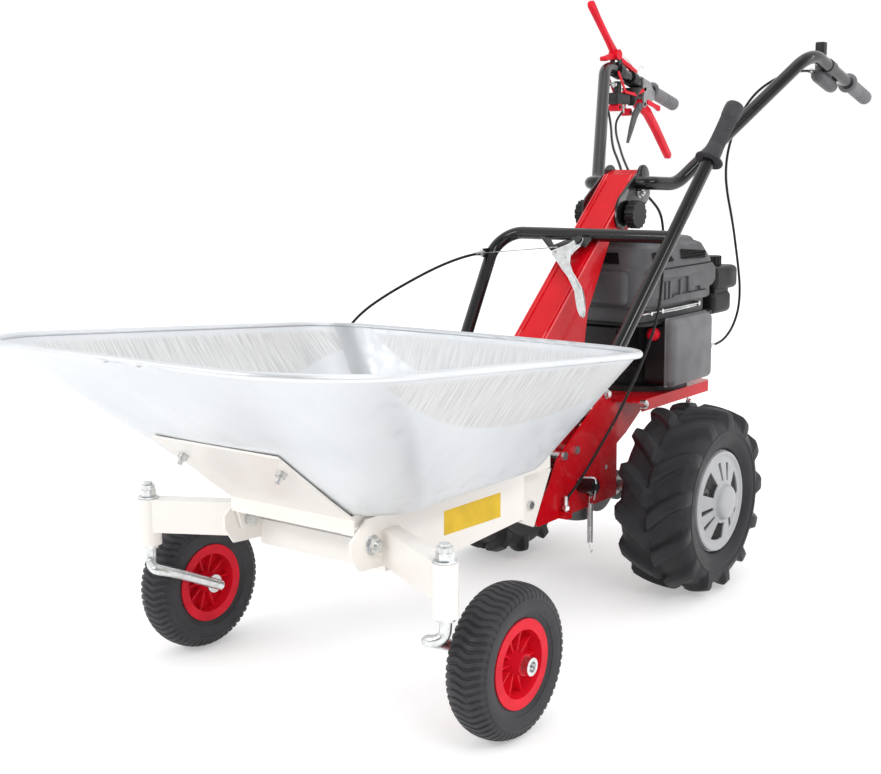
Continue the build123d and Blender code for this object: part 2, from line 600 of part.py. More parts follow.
# Column: a pressed channel, open at the rear, with two raised ridges on its face
FACE_ANGLE = atan2(COLUMN_TOP[1] - COLUMN_FOOT[1], COLUMN_FOOT[0] - COLUMN_TOP[0])
FACE_N = (sin(FACE_ANGLE), cos(FACE_ANGLE))  # outward from the front face, in X and Z
COLUMN_REAR = [(140, 300), (125, 400), (100, 534), (88, 601), (-2, 747), (-95, 775), (-165, 835)]
COLUMN_FRONT = [(-150, COLUMN_TOP[1] + 10), COLUMN_TOP, COLUMN_FOOT, (258, 480), (256, 300)]
HINGE_R = 6.0
SLOT_CLEAR = 0.6
CLAMP_REACH = hypot(CLAMP[0] - HEIGHT_PIVOT[0], CLAMP[1] - HEIGHT_PIVOT[1])
CLAMP_ANGLE = degrees(atan2(CLAMP[1] - HEIGHT_PIVOT[1], CLAMP[0] - HEIGHT_PIVOT[0]))
with BuildPart() as column:
    with BuildSketch(Plane.XZ):
        with BuildLine():
            Polyline(*COLUMN_FRONT, *COLUMN_REAR, close=True)
        make_face()
    extrude(amount=COLUMN_HALF_W, both=True)
    fillet(column.edges().filter_by(Axis.Y).sort_by(Axis.X)[-3:], 10)
    with BuildSketch(Plane.XZ):
        with BuildLine():
            Polyline(
                (-150, COLUMN_TOP[1] + 10 - COLUMN_SHEET / FACE_N[1]),
                (COLUMN_TOP[0] - COLUMN_SHEET * FACE_N[0], COLUMN_TOP[1] - COLUMN_SHEET * FACE_N[1]),
                (COLUMN_FOOT[0] - COLUMN_SHEET, COLUMN_FOOT[1] - COLUMN_SHEET),
                (258 - COLUMN_SHEET, 480),
                (256 - COLUMN_SHEET, 290),
                (-300, 290),
                (-300, COLUMN_TOP[1] + 10 - COLUMN_SHEET / FACE_N[1]),
                close=True,
            )
        make_face()
    extrude(amount=COLUMN_HALF_W - COLUMN_SHEET, both=True, mode=Mode.SUBTRACT)
    face_middle = Plane(
        origin=((COLUMN_TOP[0] + COLUMN_FOOT[0]) / 2, 0, (COLUMN_TOP[1] + COLUMN_FOOT[1]) / 2),
        x_dir=(FACE_N[1], 0, -FACE_N[0]), z_dir=(FACE_N[0], 0, FACE_N[1]),
    )
    with BuildSketch(face_middle):
        with Locations((0, COLUMN_HALF_W - 10), (0, 10 - COLUMN_HALF_W)):
            SlotOverall(hypot(COLUMN_FOOT[0] - COLUMN_TOP[0], COLUMN_FOOT[1] - COLUMN_TOP[1]) - 40, 7)
    extrude(amount=2.0)
    with BuildSketch(Plane.XZ.offset(-COLUMN_HALF_W - 1)):
        with Locations(HEIGHT_PIVOT):
            Circle(HINGE_R + RUN_CLEAR)
        with BuildLine():
            clamp_arc = CenterArc(
                HEIGHT_PIVOT, CLAMP_REACH, CLAMP_ANGLE - HEIGHT_RANGE - 0.5, 2 * HEIGHT_RANGE + 1
            )
        SlotArc(clamp_arc, 2 * (CLAMP_ROD_R + SLOT_CLEAR))
        with Locations(*PLATE_BOLTS):
            Circle(BOLT_R + SEAT_CLEAR)
    extrude(amount=2 * COLUMN_HALF_W + 2, mode=Mode.SUBTRACT)
pieces["column"] = column

# Engine
PLENUM = 6.0  # thickness of the plate under the shroud
CYL_FRONT_X = -4.0
CYL_LOW_Z = 452.0
CYL_TOP_Z = 556.0
FIN_COUNT = 9
FIN_PITCH = 13.0
FLAT_Y = 58.0  # flats on the crankcase for the carburettor and the muffler
SHROUD_MID_X = (SHROUD_FRONT_X + SHROUD_REAR_X) / 2
SHROUD_LENGTH = SHROUD_FRONT_X - SHROUD_REAR_X
with BuildPart() as engine_block:
    with Locations((CRANK_X, 0, DECK_Z)):
        Cylinder(BASE_R, BASE_H, align=(Align.CENTER, Align.CENTER, Align.MIN))
    with BuildSketch(Plane.XY.offset(DECK_Z)):
        with Locations((CRANK_X, 0)):
            Circle(CASE_R)
            Rectangle(2 * CASE_R, 2 * FLAT_Y, mode=Mode.INTERSECT)
    extrude(amount=BLOCK_TOP_Z - DECK_Z)
    with BuildSketch(Plane.XY.offset(BLOCK_TOP_Z - PLENUM)):
        with Locations((SHROUD_MID_X, 0)):
            RectangleRounded(SHROUD_LENGTH, 2 * SHROUD_HALF_W, 40)
    extrude(amount=PLENUM)
    with Locations((CRANK_X, 0, (CYL_LOW_Z + CYL_TOP_Z) / 2)):
        Box(
            CYL_FRONT_X - CRANK_X, 74, CYL_TOP_Z - CYL_LOW_Z - 20,
            align=(Align.MIN, Align.CENTER, Align.CENTER),
        )
    for fin in range(FIN_COUNT):
        with Locations((CYL_FRONT_X - 2 - fin * FIN_PITCH, 0, (CYL_LOW_Z + CYL_TOP_Z) / 2)):
            Box(4, 108, CYL_TOP_Z - CYL_LOW_Z)
    with Locations((CRANK_X, 0, DECK_Z - 1)):
        Cylinder(
            CRANK_R + RUN_CLEAR, BLOCK_TOP_Z - DECK_Z + 2, align=(Align.CENTER, Align.CENTER, Align.MIN),
            mode=Mode.SUBTRACT,
        )
pieces["engine_block"] = engine_block

with BuildPart() as crankshaft:
    with BuildSketch(Plane(origin=(CRANK_X, 0, 0), x_dir=(1, 0, 0), z_dir=(0, -1, 0))):
        with BuildLine():
            Polyline(
                (0, BELT_Z - 18),
                (16, BELT_Z - 18),
                (16, BELT_Z - BELT_H / 2 - 5),
                (CRANK_PULLEY_R + BELT_W / 2, BELT_Z - BELT_H / 2 - 5),
                (CRANK_PULLEY_R + BELT_W / 2, BELT_Z - BELT_H / 2 - 1.5),
                (CRANK_PULLEY_R - BELT_W / 2, BELT_Z - BELT_H / 2 - 0.5),
                (CRANK_PULLEY_R - BELT_W / 2, BELT_Z + BELT_H / 2 + 0.5),
                (CRANK_PULLEY_R + BELT_W / 2, BELT_Z + BELT_H / 2 + 1.5),
                (CRANK_PULLEY_R + BELT_W / 2, BELT_Z + BELT_H / 2 + 5),
                (CRANK_R, BELT_Z + BELT_H / 2 + 5),
                (CRANK_R, FLYWHEEL_Z - FLYWHEEL_H / 2),
                (FLYWHEEL_R, FLYWHEEL_Z - FLYWHEEL_H / 2),
                (FLYWHEEL_R, FLYWHEEL_Z + FLYWHEEL_H / 2),
                (24, FLYWHEEL_Z + FLYWHEEL_H / 2),
                (24, FLYWHEEL_Z + FLYWHEEL_H / 2 + 14),
                (0, FLYWHEEL_Z + FLYWHEEL_H / 2 + 14),
                close=True,
            )
        make_face()
    revolve(axis=Axis((CRANK_X, 0, 0), (0, 0, 1)))
pieces["crankshaft"] = crankshaft

# Shroud over the flywheel, with sloping grille faces round its top
SHOULDER_Z = 684.0
STARTER_Y = -62.0
STARTER_Z = 640.0
STARTER_R = 5.0


def shroud_body(skin, top_z):
    """The outside of the shroud drawn in by a skin thickness."""
    with BuildPart() as body:
        with BuildSketch(Plane.XY.offset(BLOCK_TOP_Z)):
            with Locations((SHROUD_MID_X, 0)):
                RectangleRounded(SHROUD_LENGTH - 2 * skin, 2 * (SHROUD_HALF_W - skin), 44 - skin)
        with BuildSketch(Plane.XY.offset(SHOULDER_Z - skin / 2)):
            with Locations((SHROUD_MID_X, 0)):
                RectangleRounded(SHROUD_LENGTH - 8 - 2 * skin, 2 * (SHROUD_HALF_W - 4 - skin), 44 - skin)
        loft(ruled=True)
        with BuildSketch(Plane.XY.offset(SHOULDER_Z - skin / 2)):
            with Locations((SHROUD_MID_X, 0)):
                RectangleRounded(SHROUD_LENGTH - 8 - 2 * skin, 2 * (SHROUD_HALF_W - 4 - skin), 44 - skin)
        with BuildSketch(Plane.XY.offset(top_z)):
            with Locations((SHROUD_MID_X - 2, 0)):
                RectangleRounded(SHROUD_LENGTH - 84 - 2 * skin, 2 * (SHROUD_HALF_W - 40 - skin), 34 - skin)
        loft(ruled=True)
    return body.part


with BuildPart() as engine_shroud:
    add(shroud_body(0, SHROUD_TOP_Z))
    add(shroud_body(SHROUD_SHEET, SHROUD_TOP_Z - SHROUD_SHEET), mode=Mode.SUBTRACT)
    with Locations(Location((SHROUD_REAR_X, STARTER_Y, STARTER_Z), (0, 90, 0))):
        Cylinder(STARTER_R + RUN_CLEAR, 40, mode=Mode.SUBTRACT)
    with BuildSketch(Plane.XY.offset(SHROUD_TOP_Z - 10)):
        with Locations((SHROUD_MID_X, 0)):
            with GridLocations(22, 0, 9, 1):
                SlotOverall(100, 8, rotation=90)
    extrude(amount=20, mode=Mode.SUBTRACT)
pieces["engine_shroud"] = engine_shroud

with BuildPart() as starter_handle:
    with Locations(Location((SHROUD_REAR_X - 20, STARTER_Y, STARTER_Z), (0, 90, 0))):
        Cylinder(STARTER_R, 96, align=(Align.CENTER, Align.CENTER, Align.MIN))
    with Locations((SHROUD_REAR_X - 26, STARTER_Y, STARTER_Z)):
        Box(16, 22, 62)
    fillet(starter_handle.edges().filter_by(Axis.Y), 6)
pieces["starter_handle"] = starter_handle

# Fuel tank behind the shroud and its cap
TANK_REAR_X = -515.0
TANK_Y = (10.0, 110.0)
TANK_LOW_Z = 548.0
TANK_TOP_Z = 664.0
NECK_R = 20.0
CAP_R = 27.0
NECK_X = (TANK_REAR_X + SHROUD_REAR_X) / 2 - 6
NECK_Y = sum(TANK_Y) / 2
with BuildPart() as fuel_tank:
    with BuildSketch(Plane.XY.offset(TANK_LOW_Z)):
        with Locations(((TANK_REAR_X + SHROUD_REAR_X) / 2, NECK_Y)):
            RectangleRounded(SHROUD_REAR_X - TANK_REAR_X, TANK_Y[1] - TANK_Y[0], 24)
    extrude(amount=TANK_TOP_Z - TANK_LOW_Z)
    with Locations((TANK_REAR_X, NECK_Y, TANK_LOW_Z)):
        Box(70, 130, 44, align=(Align.MIN, Align.CENTER, Align.MIN), mode=Mode.SUBTRACT)
    fillet(fuel_tank.faces().sort_by(Axis.Z)[-1].edges(), 10)
    with Locations((NECK_X, NECK_Y, TANK_TOP_Z)):
        Cylinder(NECK_R, 14, align=(Align.CENTER, Align.CENTER, Align.MIN))
    with Locations((NECK_X, NECK_Y, TANK_LOW_Z + 50)):
        Cylinder(
            NECK_R - 3, TANK_TOP_Z - TANK_LOW_Z - 30, align=(Align.CENTER, Align.CENTER, Align.MIN),
            mode=Mode.SUBTRACT,
        )
pieces["fuel_tank"] = fuel_tank

with BuildPart() as fuel_cap:
    with BuildSketch(Plane.XY.offset(TANK_TOP_Z + SLIP_GAP)):
        with Locations((NECK_X, NECK_Y)):
            Circle(CAP_R)
            with PolarLocations(CAP_R + 2, 16):
                Circle(4, mode=Mode.SUBTRACT)
    extrude(amount=22)
    fillet(fuel_cap.faces().sort_by(Axis.Z)[-1].edges(), 1.5)
    with Locations((NECK_X, NECK_Y, TANK_TOP_Z)):
        Cylinder(
            NECK_R + RUN_CLEAR, 15, align=(Align.CENTER, Align.CENTER, Align.MIN), mode=Mode.SUBTRACT
        )
pieces["fuel_cap"] = fuel_cap

# Carburettor, air box with its cover, and the primer bulb
with BuildPart() as carburettor:
    with Locations((CRANK_X, FLAT_Y, 500)):
        Box(66, AIRBOX_Y - FLAT_Y, 58, align=(Align.CENTER, Align.MIN, Align.CENTER))
    with Locations((CRANK_X, (FLAT_Y + AIRBOX_Y) / 2, 471)):
        Cylinder(9, 34, align=(Align.CENTER, Align.CENTER, Align.MAX))
pieces["carburettor"] = carburettor

BOX_SHEET = 3.0
AIRBOX_OUT_Y = AIRBOX_Y + AIRBOX_DEPTH
AIRBOX_MID = ((AIRBOX_FRONT_X + AIRBOX_REAR_X) / 2, (AIRBOX_LOW_Z + AIRBOX_TOP_Z) / 2)
AIRBOX_SIZE = (AIRBOX_FRONT_X - AIRBOX_REAR_X, AIRBOX_TOP_Z - AIRBOX_LOW_Z)
PRIMER_Y = AIRBOX_Y + 22.0
PRIMER_Z = 536.0
with BuildPart() as airbox:
    with BuildSketch(Plane.XZ.offset(-AIRBOX_Y)):
        with Locations(AIRBOX_MID):
            RectangleRounded(*AIRBOX_SIZE, 14)
    extrude(amount=-AIRBOX_DEPTH)
    with BuildSketch(Plane.XZ.offset(-AIRBOX_Y - BOX_SHEET)):
        with Locations(AIRBOX_MID):
            RectangleRounded(AIRBOX_SIZE[0] - 2 * BOX_SHEET, AIRBOX_SIZE[1] - 2 * BOX_SHEET, 11)
    extrude(amount=-AIRBOX_DEPTH, mode=Mode.SUBTRACT)
    with Locations(Location((AIRBOX_FRONT_X, PRIMER_Y, PRIMER_Z), (0, 90, 0))):
        Cylinder(PRIMER_R + RUN_CLEAR, 20, mode=Mode.SUBTRACT)
pieces["airbox"] = airbox

with BuildPart() as airbox_cover:
    with BuildSketch(Plane.XY.offset(AIRBOX_LOW_Z - 4)):
        with BuildLine():
            Polyline(
                (AIRBOX_REAR_X - 4, AIRBOX_OUT_Y),
                (AIRBOX_REAR_X - 4, AIRBOX_OUT_Y + COVER_DEPTH - 10),
                (AIRBOX_REAR_X + 10, AIRBOX_OUT_Y + COVER_DEPTH),
                (AIRBOX_FRONT_X - 46, AIRBOX_OUT_Y + COVER_DEPTH),
                (AIRBOX_FRONT_X - 2, AIRBOX_OUT_Y + 3),
                (AIRBOX_FRONT_X - 2, AIRBOX_OUT_Y),
                close=True,
            )
        make_face()
    extrude(amount=COVER_TOP_Z - AIRBOX_LOW_Z + 4)
    fillet(airbox_cover.edges().filter_by(Axis.Z).sort_by(Axis.Y)[-2:], 8)
    offset(amount=-BOX_SHEET, openings=airbox_cover.faces().sort_by(Axis.Y)[0])
pieces["airbox_cover"] = airbox_cover

with BuildPart() as primer_bulb:
    with BuildSketch(Plane(origin=(0, PRIMER_Y, PRIMER_Z), x_dir=(1, 0, 0), z_dir=(0, -1, 0))):
        with BuildLine():
            Polyline(
                (AIRBOX_FRONT_X + 8, PRIMER_R), (AIRBOX_FRONT_X - 12, PRIMER_R), (AIRBOX_FRONT_X - 12, 0)
            )
            Line((AIRBOX_FRONT_X - 12, 0), (AIRBOX_FRONT_X + 17, 0))
            ThreePointArc(
                (AIRBOX_FRONT_X + 17, 0), (AIRBOX_FRONT_X + 14.5, PRIMER_R * 0.66),
                (AIRBOX_FRONT_X + 8, PRIMER_R)
            )
        make_face()
    revolve(axis=Axis((0, PRIMER_Y, PRIMER_Z), (1, 0, 0)))
pieces["primer_bulb"] = primer_bulb

with BuildPart() as muffler:
    with Locations((CRANK_X + 10, -FLAT_Y - 46, 492)):
        Box(140, 56, 100)
    fillet(muffler.edges(), 12)
    with Locations(Location((CRANK_X, -FLAT_Y, 492), (90, 0, 0))):
        Cylinder(14, 24, align=(Align.CENTER, Align.CENTER, Align.MIN))
pieces["muffler"] = muffler

# Cart frame: two side plates that bend in at the rear, joined by cross members
CROSS_MEMBERS = [(890, 252, 40, 46), (540, 256, 40, 40)]  # X, low Z, length and height
MEMBER_SHEET = 3.0
STRIKER = (452.0, 306.0)  # X and Z of the pin that the latch holds
STRIKER_R = 5.0
FRAME_PROFILE = [
    (998, 322), (956, 354), (PLATE_REAR_X + 8, PLATE_TOP_Z), (PLATE_REAR_X, 326), (430, 322), (325, 309),
    (388, 200), (507, 250), (700, 240), (880, 262), (977, 269), (998, 300),
]  # the front corner is cut so that the tray clears it while it tips
with BuildPart() as cart_frame:
    for side in (1, -1):
        with BuildSketch(Plane.XY.offset(190)):
            with BuildLine():
                Polyline(
                    (1000, side * PLATE_Y),
                    (PLATE_REAR_X, side * PLATE_Y),
                    (438, side * (STRIP_Y + PLATE_SHEET)),
                    (320, side * (STRIP_Y + PLATE_SHEET)),
                    (320, side * STRIP_Y),
                    (440, side * STRIP_Y),
                    (PLATE_REAR_X + 2, side * (PLATE_Y - PLATE_SHEET)),
                    (1000, side * (PLATE_Y - PLATE_SHEET)),
                    close=True,
                )
            make_face()
        extrude(amount=190)
    with BuildSketch(Plane.XZ):
        with BuildLine():
            Polyline(*FRAME_PROFILE, close=True)
        make_face()
        with Locations((PIVOT_X, PIVOT_Z)):
            Circle(PIVOT_R + SEAT_CLEAR, mode=Mode.SUBTRACT)
        with Locations((BLOCK_X, TONGUE_LOW + 24)):
            Circle(BOLT_R + SEAT_CLEAR, mode=Mode.SUBTRACT)
    extrude(amount=PLATE_Y + 10, both=True, mode=Mode.INTERSECT)
    for member_x, low_z, length, height in CROSS_MEMBERS:
        with Locations((member_x, 0, low_z)):
            Box(length, 2 * PLATE_Y - PLATE_SHEET, height, align=(Align.CENTER, Align.CENTER, Align.MIN))
            with Locations((0, 0, MEMBER_SHEET)):
                Box(
                    length - 2 * MEMBER_SHEET, 2 * (PLATE_Y - PLATE_SHEET), height - 2 * MEMBER_SHEET,
                    align=(Align.CENTER, Align.CENTER, Align.MIN), mode=Mode.SUBTRACT,
                )
    with Locations(Location((STRIKER[0], -STRIP_Y - 8, STRIKER[1]), (90, 0, 0))):
        Cylinder(STRIKER_R, 74, align=(Align.CENTER, Align.CENTER, Align.MIN))
pieces["cart_frame"] = cart_frame

# Caster arms: square tubes welded to the side plates, with an upright sleeve at the outer end
ARM_ROOT_X = 898.0
arm_run = hypot(CASTER_X - ARM_ROOT_X, CASTER_Y - PLATE_Y)
arm_turn = degrees(atan2(CASTER_Y - PLATE_Y, CASTER_X - ARM_ROOT_X))
with BuildPart() as caster_arm_left:
    with Locations(Location((ARM_ROOT_X, PLATE_Y, ARM_LOW_Z), (0, 0, arm_turn))):
        with Locations((-30, 0, 0)):
            Box(arm_run + 30, ARM_W, ARM_H, align=(Align.MIN, Align.CENTER, Align.MIN))
            with Locations((0, 0, ARM_SHEET)):
                Box(
                    arm_run + 10, ARM_W - 2 * ARM_SHEET, ARM_H - 2 * ARM_SHEET,
                    align=(Align.MIN, Align.CENTER, Align.MIN), mode=Mode.SUBTRACT,
                )
    with Locations((CASTER_X, CASTER_Y, ARM_LOW_Z - SLEEVE_DROP)):
        Cylinder(SLEEVE_R, ARM_H + SLEEVE_DROP, align=(Align.CENTER, Align.CENTER, Align.MIN))
        Cylinder(
            ROD_R + RUN_CLEAR, ARM_H + SLEEVE_DROP, align=(Align.CENTER, Align.CENTER, Align.MIN),
            mode=Mode.SUBTRACT
        )
    with Locations((ARM_ROOT_X, PLATE_Y, ARM_LOW_Z - 50)):
        Box(200, 100, 200, align=(Align.CENTER, Align.MAX, Align.MIN), mode=Mode.SUBTRACT)
pieces["caster_arm_left"] = caster_arm_left
pieces["caster_arm_right"] = mirrored(caster_arm_left)

# Caster forks: bent rods that carry the wheel on one side
WHEEL_X = CASTER_X - CASTER_TRAIL
WHEEL_Y = CASTER_Y + CASTER_OFFSET
FORK_Y = WHEEL_Y - CASTER_W / 2 - 16
ROD_TOP_Z = ARM_TOP_Z + 18
NUT_H = 13.0
WASHER_H = 3.0
caster_fork_left = tube(
    [
        (CASTER_X, CASTER_Y, ROD_TOP_Z), (CASTER_X, CASTER_Y, 205), (CASTER_X - 40, FORK_Y, 186),
        (WHEEL_X, FORK_Y, CASTER_Z), (WHEEL_X, WHEEL_Y + CASTER_W / 2 + 6, CASTER_Z),
    ],
    [20, 20, 14], ROD_R,
)
with BuildPart() as fork_with_collar:
    add(caster_fork_left.part)
    with Locations((CASTER_X, CASTER_Y, ARM_LOW_Z - SLEEVE_DROP - SLIP_GAP)):
        Cylinder(15, 6, align=(Align.CENTER, Align.CENTER, Align.MAX))
    with Locations(Location((WHEEL_X, WHEEL_Y - CASTER_W / 2 - SLIP_GAP, CASTER_Z), (90, 0, 0))):
        Cylinder(14, 4, align=(Align.CENTER, Align.CENTER, Align.MIN))
pieces["caster_fork_left"] = fork_with_collar
pieces["caster_fork_right"] = mirrored(fork_with_collar)

with BuildPart() as caster_nuts_left:
    with Locations((CASTER_X, CASTER_Y, ARM_TOP_Z + SLIP_GAP)):
        Cylinder(19, WASHER_H, align=(Align.CENTER, Align.CENTER, Align.MIN))
        Cylinder(
            ROD_R + SEAT_CLEAR, WASHER_H, align=(Align.CENTER, Align.CENTER, Align.MIN), mode=Mode.SUBTRACT
        )
    with BuildSketch(Plane.XY.offset(ARM_TOP_Z + SLIP_GAP + WASHER_H)):
        with Locations((CASTER_X, CASTER_Y)):
            RegularPolygon(15, 6)
            Circle(ROD_R + SEAT_CLEAR, mode=Mode.SUBTRACT)
    extrude(amount=NUT_H)
    with BuildSketch(Plane.XZ.offset(-(WHEEL_Y + CASTER_W / 2 + SLIP_GAP))):
        with Locations((WHEEL_X, CASTER_Z)):
            Circle(15)
            Circle(ROD_R + SEAT_CLEAR, mode=Mode.SUBTRACT)
    extrude(amount=-NUT_H)
pieces["caster_nuts_left"] = caster_nuts_left
pieces["caster_nuts_right"] = mirrored(caster_nuts_left)

# Front wheels
CASTER_PLANE = Plane(origin=(WHEEL_X, WHEEL_Y, CASTER_Z), x_dir=(0, 1, 0), z_dir=(1, 0, 0))
CASTER_AXIS = Axis((WHEEL_X, WHEEL_Y, CASTER_Z), (0, 1, 0))
CASTER_BEAD_TOP = CASTER_FLANGE_R + 3
CASTER_WALL = 7.0
CASTER_SHOULDER = CASTER_W / 2 - 7
GROOVE_COUNT = 36
front_hollow = ring(
    CASTER_PLANE, CASTER_AXIS, CASTER_W / 2 - CASTER_WALL, CASTER_R - CASTER_WALL - 2,
    CASTER_BEAD_W / 2 - CASTER_WALL, CASTER_BEAD_R, CASTER_BEAD_TOP, CASTER_SHOULDER - CASTER_WALL,
    CASTER_R - 8 - CASTER_WALL,
)
with BuildPart() as front_tyre_left:
    add(
        ring(
            CASTER_PLANE, CASTER_AXIS, CASTER_W / 2, CASTER_R, CASTER_BEAD_W / 2, CASTER_BEAD_R,
            CASTER_BEAD_TOP,
            CASTER_SHOULDER, CASTER_R - 8,
        )
    )
    add(front_hollow, mode=Mode.SUBTRACT)
    with BuildSketch(Plane(origin=(WHEEL_X, WHEEL_Y - 20, CASTER_Z), x_dir=(1, 0, 0), z_dir=(0, 1, 0))):
        with PolarLocations(CASTER_R, GROOVE_COUNT):
            Rectangle(5, 4)
    extrude(amount=14, mode=Mode.SUBTRACT)
    with BuildSketch(Plane(origin=(WHEEL_X, WHEEL_Y + 6, CASTER_Z), x_dir=(1, 0, 0), z_dir=(0, 1, 0))):
        with PolarLocations(CASTER_R, GROOVE_COUNT, start_angle=180 / GROOVE_COUNT):
            Rectangle(5, 4)
    extrude(amount=14, mode=Mode.SUBTRACT)
pieces["front_tyre_left"] = front_tyre_left
pieces["front_tyre_right"] = mirrored(front_tyre_left)

RIB_COUNT = 10
with BuildPart() as front_rim_left:
    with BuildSketch(CASTER_PLANE):
        with BuildLine():
            Polyline(
                (-CASTER_BEAD_W / 2 - 4, CASTER_FLANGE_R),
                (-CASTER_BEAD_W / 2, CASTER_FLANGE_R),
                (-CASTER_BEAD_W / 2, CASTER_BEAD_R),
                (CASTER_BEAD_W / 2, CASTER_BEAD_R),
                (CASTER_BEAD_W / 2, CASTER_FLANGE_R),
                (CASTER_BEAD_W / 2 + 4, CASTER_FLANGE_R),
                (CASTER_BEAD_W / 2 + 4, CASTER_BEAD_R - 5),
                (4, CASTER_BEAD_R - 5),
                (4, 20),
                (CASTER_W / 2, 18),
                (CASTER_W / 2, ROD_R + RUN_CLEAR),
                (-CASTER_W / 2, ROD_R + RUN_CLEAR),
                (-CASTER_W / 2, 18),
                (-4, 20),
                (-4, CASTER_BEAD_R - 5),
                (-CASTER_BEAD_W / 2 - 4, CASTER_BEAD_R - 5),
                close=True,
            )
        make_face()
    revolve(axis=CASTER_AXIS)
    with BuildSketch(Plane(origin=(WHEEL_X, WHEEL_Y - 18, CASTER_Z), x_dir=(1, 0, 0), z_dir=(0, 1, 0))):
        with PolarLocations(38, RIB_COUNT):
            Rectangle(42, 3)
    extrude(amount=36)
pieces["front_rim_left"] = front_rim_left
pieces["front_rim_right"] = mirrored(front_rim_left)

# Tray
RIM_PLANE = Plane(
    origin=(RIM_X, 0, RIM_Z), x_dir=(cos(radians(RIM_SLOPE)), 0, sin(radians(RIM_SLOPE))),
    z_dir=(-sin(radians(RIM_SLOPE)), 0, cos(radians(RIM_SLOPE))),
)
SKIN = 2.4  # level distance between the tray's outer and inner walls
BEAD_OUT = 2.5  # from the wall's outer side to the lip's middle
WALL_FRONT_X = FRONT_REACH - TRAY_BEAD_R - BEAD_OUT  # outside of the front wall at the lip
RIM_FRONT = (WALL_FRONT_X - RIM_X) / cos(radians(RIM_SLOPE))
RIM_REAR = (RIM_REAR_X - RIM_X) / cos(radians(RIM_SLOPE))


def rim_outline(inset, plane):
    """The lip's outline drawn in by an inset."""
    front = RIM_FRONT - inset
    rear = RIM_REAR + inset
    half = RIM_HALF_W - inset
    with BuildSketch(plane) as outline:
        with BuildLine():
            ThreePointArc((front - RIM_FRONT_BOW, -half - 6), (front, 0), (front - RIM_FRONT_BOW, half + 6))
            Line((front - RIM_FRONT_BOW, half + 6), (rear + RIM_REAR_BOW, half - 5))
            ThreePointArc((rear + RIM_REAR_BOW, half - 5), (rear, 0), (rear + RIM_REAR_BOW, 5 - half))
            Line((rear + RIM_REAR_BOW, 5 - half), (front - RIM_FRONT_BOW, -half - 6))
        make_face()
        fillet(outline.vertices().sort_by(Axis.X)[-2:], RIM_FRONT_CORNER - inset)
        fillet(outline.vertices().sort_by(Axis.X)[:2], RIM_REAR_CORNER - inset)
    return outline.sketch


def floor_outline(inset, plane):
    """The floor's outline drawn in by an inset."""
    with BuildSketch(plane) as outline:
        with BuildLine():
            front = FLOOR_FRONT_X - inset
            rear = FLOOR_REAR_X + inset
            half = FLOOR_HALF_W - inset
            ThreePointArc((front - 4, -half), (front, 0), (front - 4, half))
            Line((front - 4, half), (rear + 6, half))
            ThreePointArc((rear + 6, half), (rear, 0), (rear + 6, -half))
            Line((rear + 6, -half), (front - 4, -half))
        make_face()
        fillet(outline.vertices().sort_by(Axis.X)[-2:], FLOOR_FRONT_CORNER - inset)
        fillet(outline.vertices().sort_by(Axis.X)[:2], FLOOR_REAR_CORNER - inset)
    return outline.sketch


def tray_body(inset, lift, fillet_r):
    """The tray as a solid block from floor to lip."""
    with BuildPart() as body:
        floor = floor_outline(inset, Plane.XY.offset(TRAY_FLOOR_Z + lift))
        loft([floor, rim_outline(inset, RIM_PLANE)], ruled=True)
        fillet(body.faces().sort_by(Axis.Z)[0].edges(), fillet_r)
    return body.part


# The front wall's slope places the plate and the bolts that lie against it
WALL_RISE = RIM_Z + (WALL_FRONT_X - RIM_X) * tan(radians(RIM_SLOPE)) - TRAY_FLOOR_Z
WALL_RUN = WALL_FRONT_X - FLOOR_FRONT_X
WALL_ANGLE = atan2(WALL_RISE, WALL_RUN)


def wall_point(along, out):
    """X and Z of a point on the front wall, a distance out from its outer side."""
    return (
        FLOOR_FRONT_X + along * cos(WALL_ANGLE) + out * sin(WALL_ANGLE),
        TRAY_FLOOR_Z + along * sin(WALL_ANGLE) - out * cos(WALL_ANGLE),
    )


FRONT_PLATE_GAP = 1.2
FRONT_PLATE_SHEET = 4.0
FRONT_BOLT_Y = 113.0
FRONT_BOLT_ALONG = 160.0
TRAY_BOLT_R = 5.0
bolt_x, bolt_z = wall_point(FRONT_BOLT_ALONG, 0)
FRONT_BOLTS = [
    Location(
        Plane(
            origin=(bolt_x, side * FRONT_BOLT_Y, bolt_z), x_dir=(0, 1, 0),
            z_dir=(-sin(WALL_ANGLE), 0, cos(WALL_ANGLE)),
        )
    )
    for side in (1, -1)
]

lip = rim_outline(-BEAD_OUT, RIM_PLANE.offset(1.5)).faces()[0].outer_wire()
with BuildPart() as tray:
    add(tray_body(0, 0, FLOOR_FILLET))
    with BuildSketch(Plane(origin=lip @ 0, z_dir=lip % 0)):
        Circle(TRAY_BEAD_R)
    sweep(path=lip)
    add(tray_body(SKIN, TRAY_SHEET, FLOOR_FILLET - TRAY_SHEET), mode=Mode.SUBTRACT)
    with Locations(*FRONT_BOLTS):
        Cylinder(TRAY_BOLT_R + SEAT_CLEAR, 30, mode=Mode.SUBTRACT)
    with BuildSketch(Plane.XY.offset(TRAY_FLOOR_Z + TRAY_SHEET)):
        with Locations((PANEL_X, 0)):
            RectangleRounded(PANEL_L, PANEL_W, PANEL_CORNER)
    extrude(amount=PANEL_RISE)
    with BuildSketch(Plane.XY.offset(TRAY_FLOOR_Z)):
        with Locations((PANEL_X, 0)):
            RectangleRounded(PANEL_L - 2 * TRAY_SHEET, PANEL_W - 2 * TRAY_SHEET, PANEL_CORNER - TRAY_SHEET)
    extrude(amount=PANEL_RISE, mode=Mode.SUBTRACT)
pieces["tray"] = tray

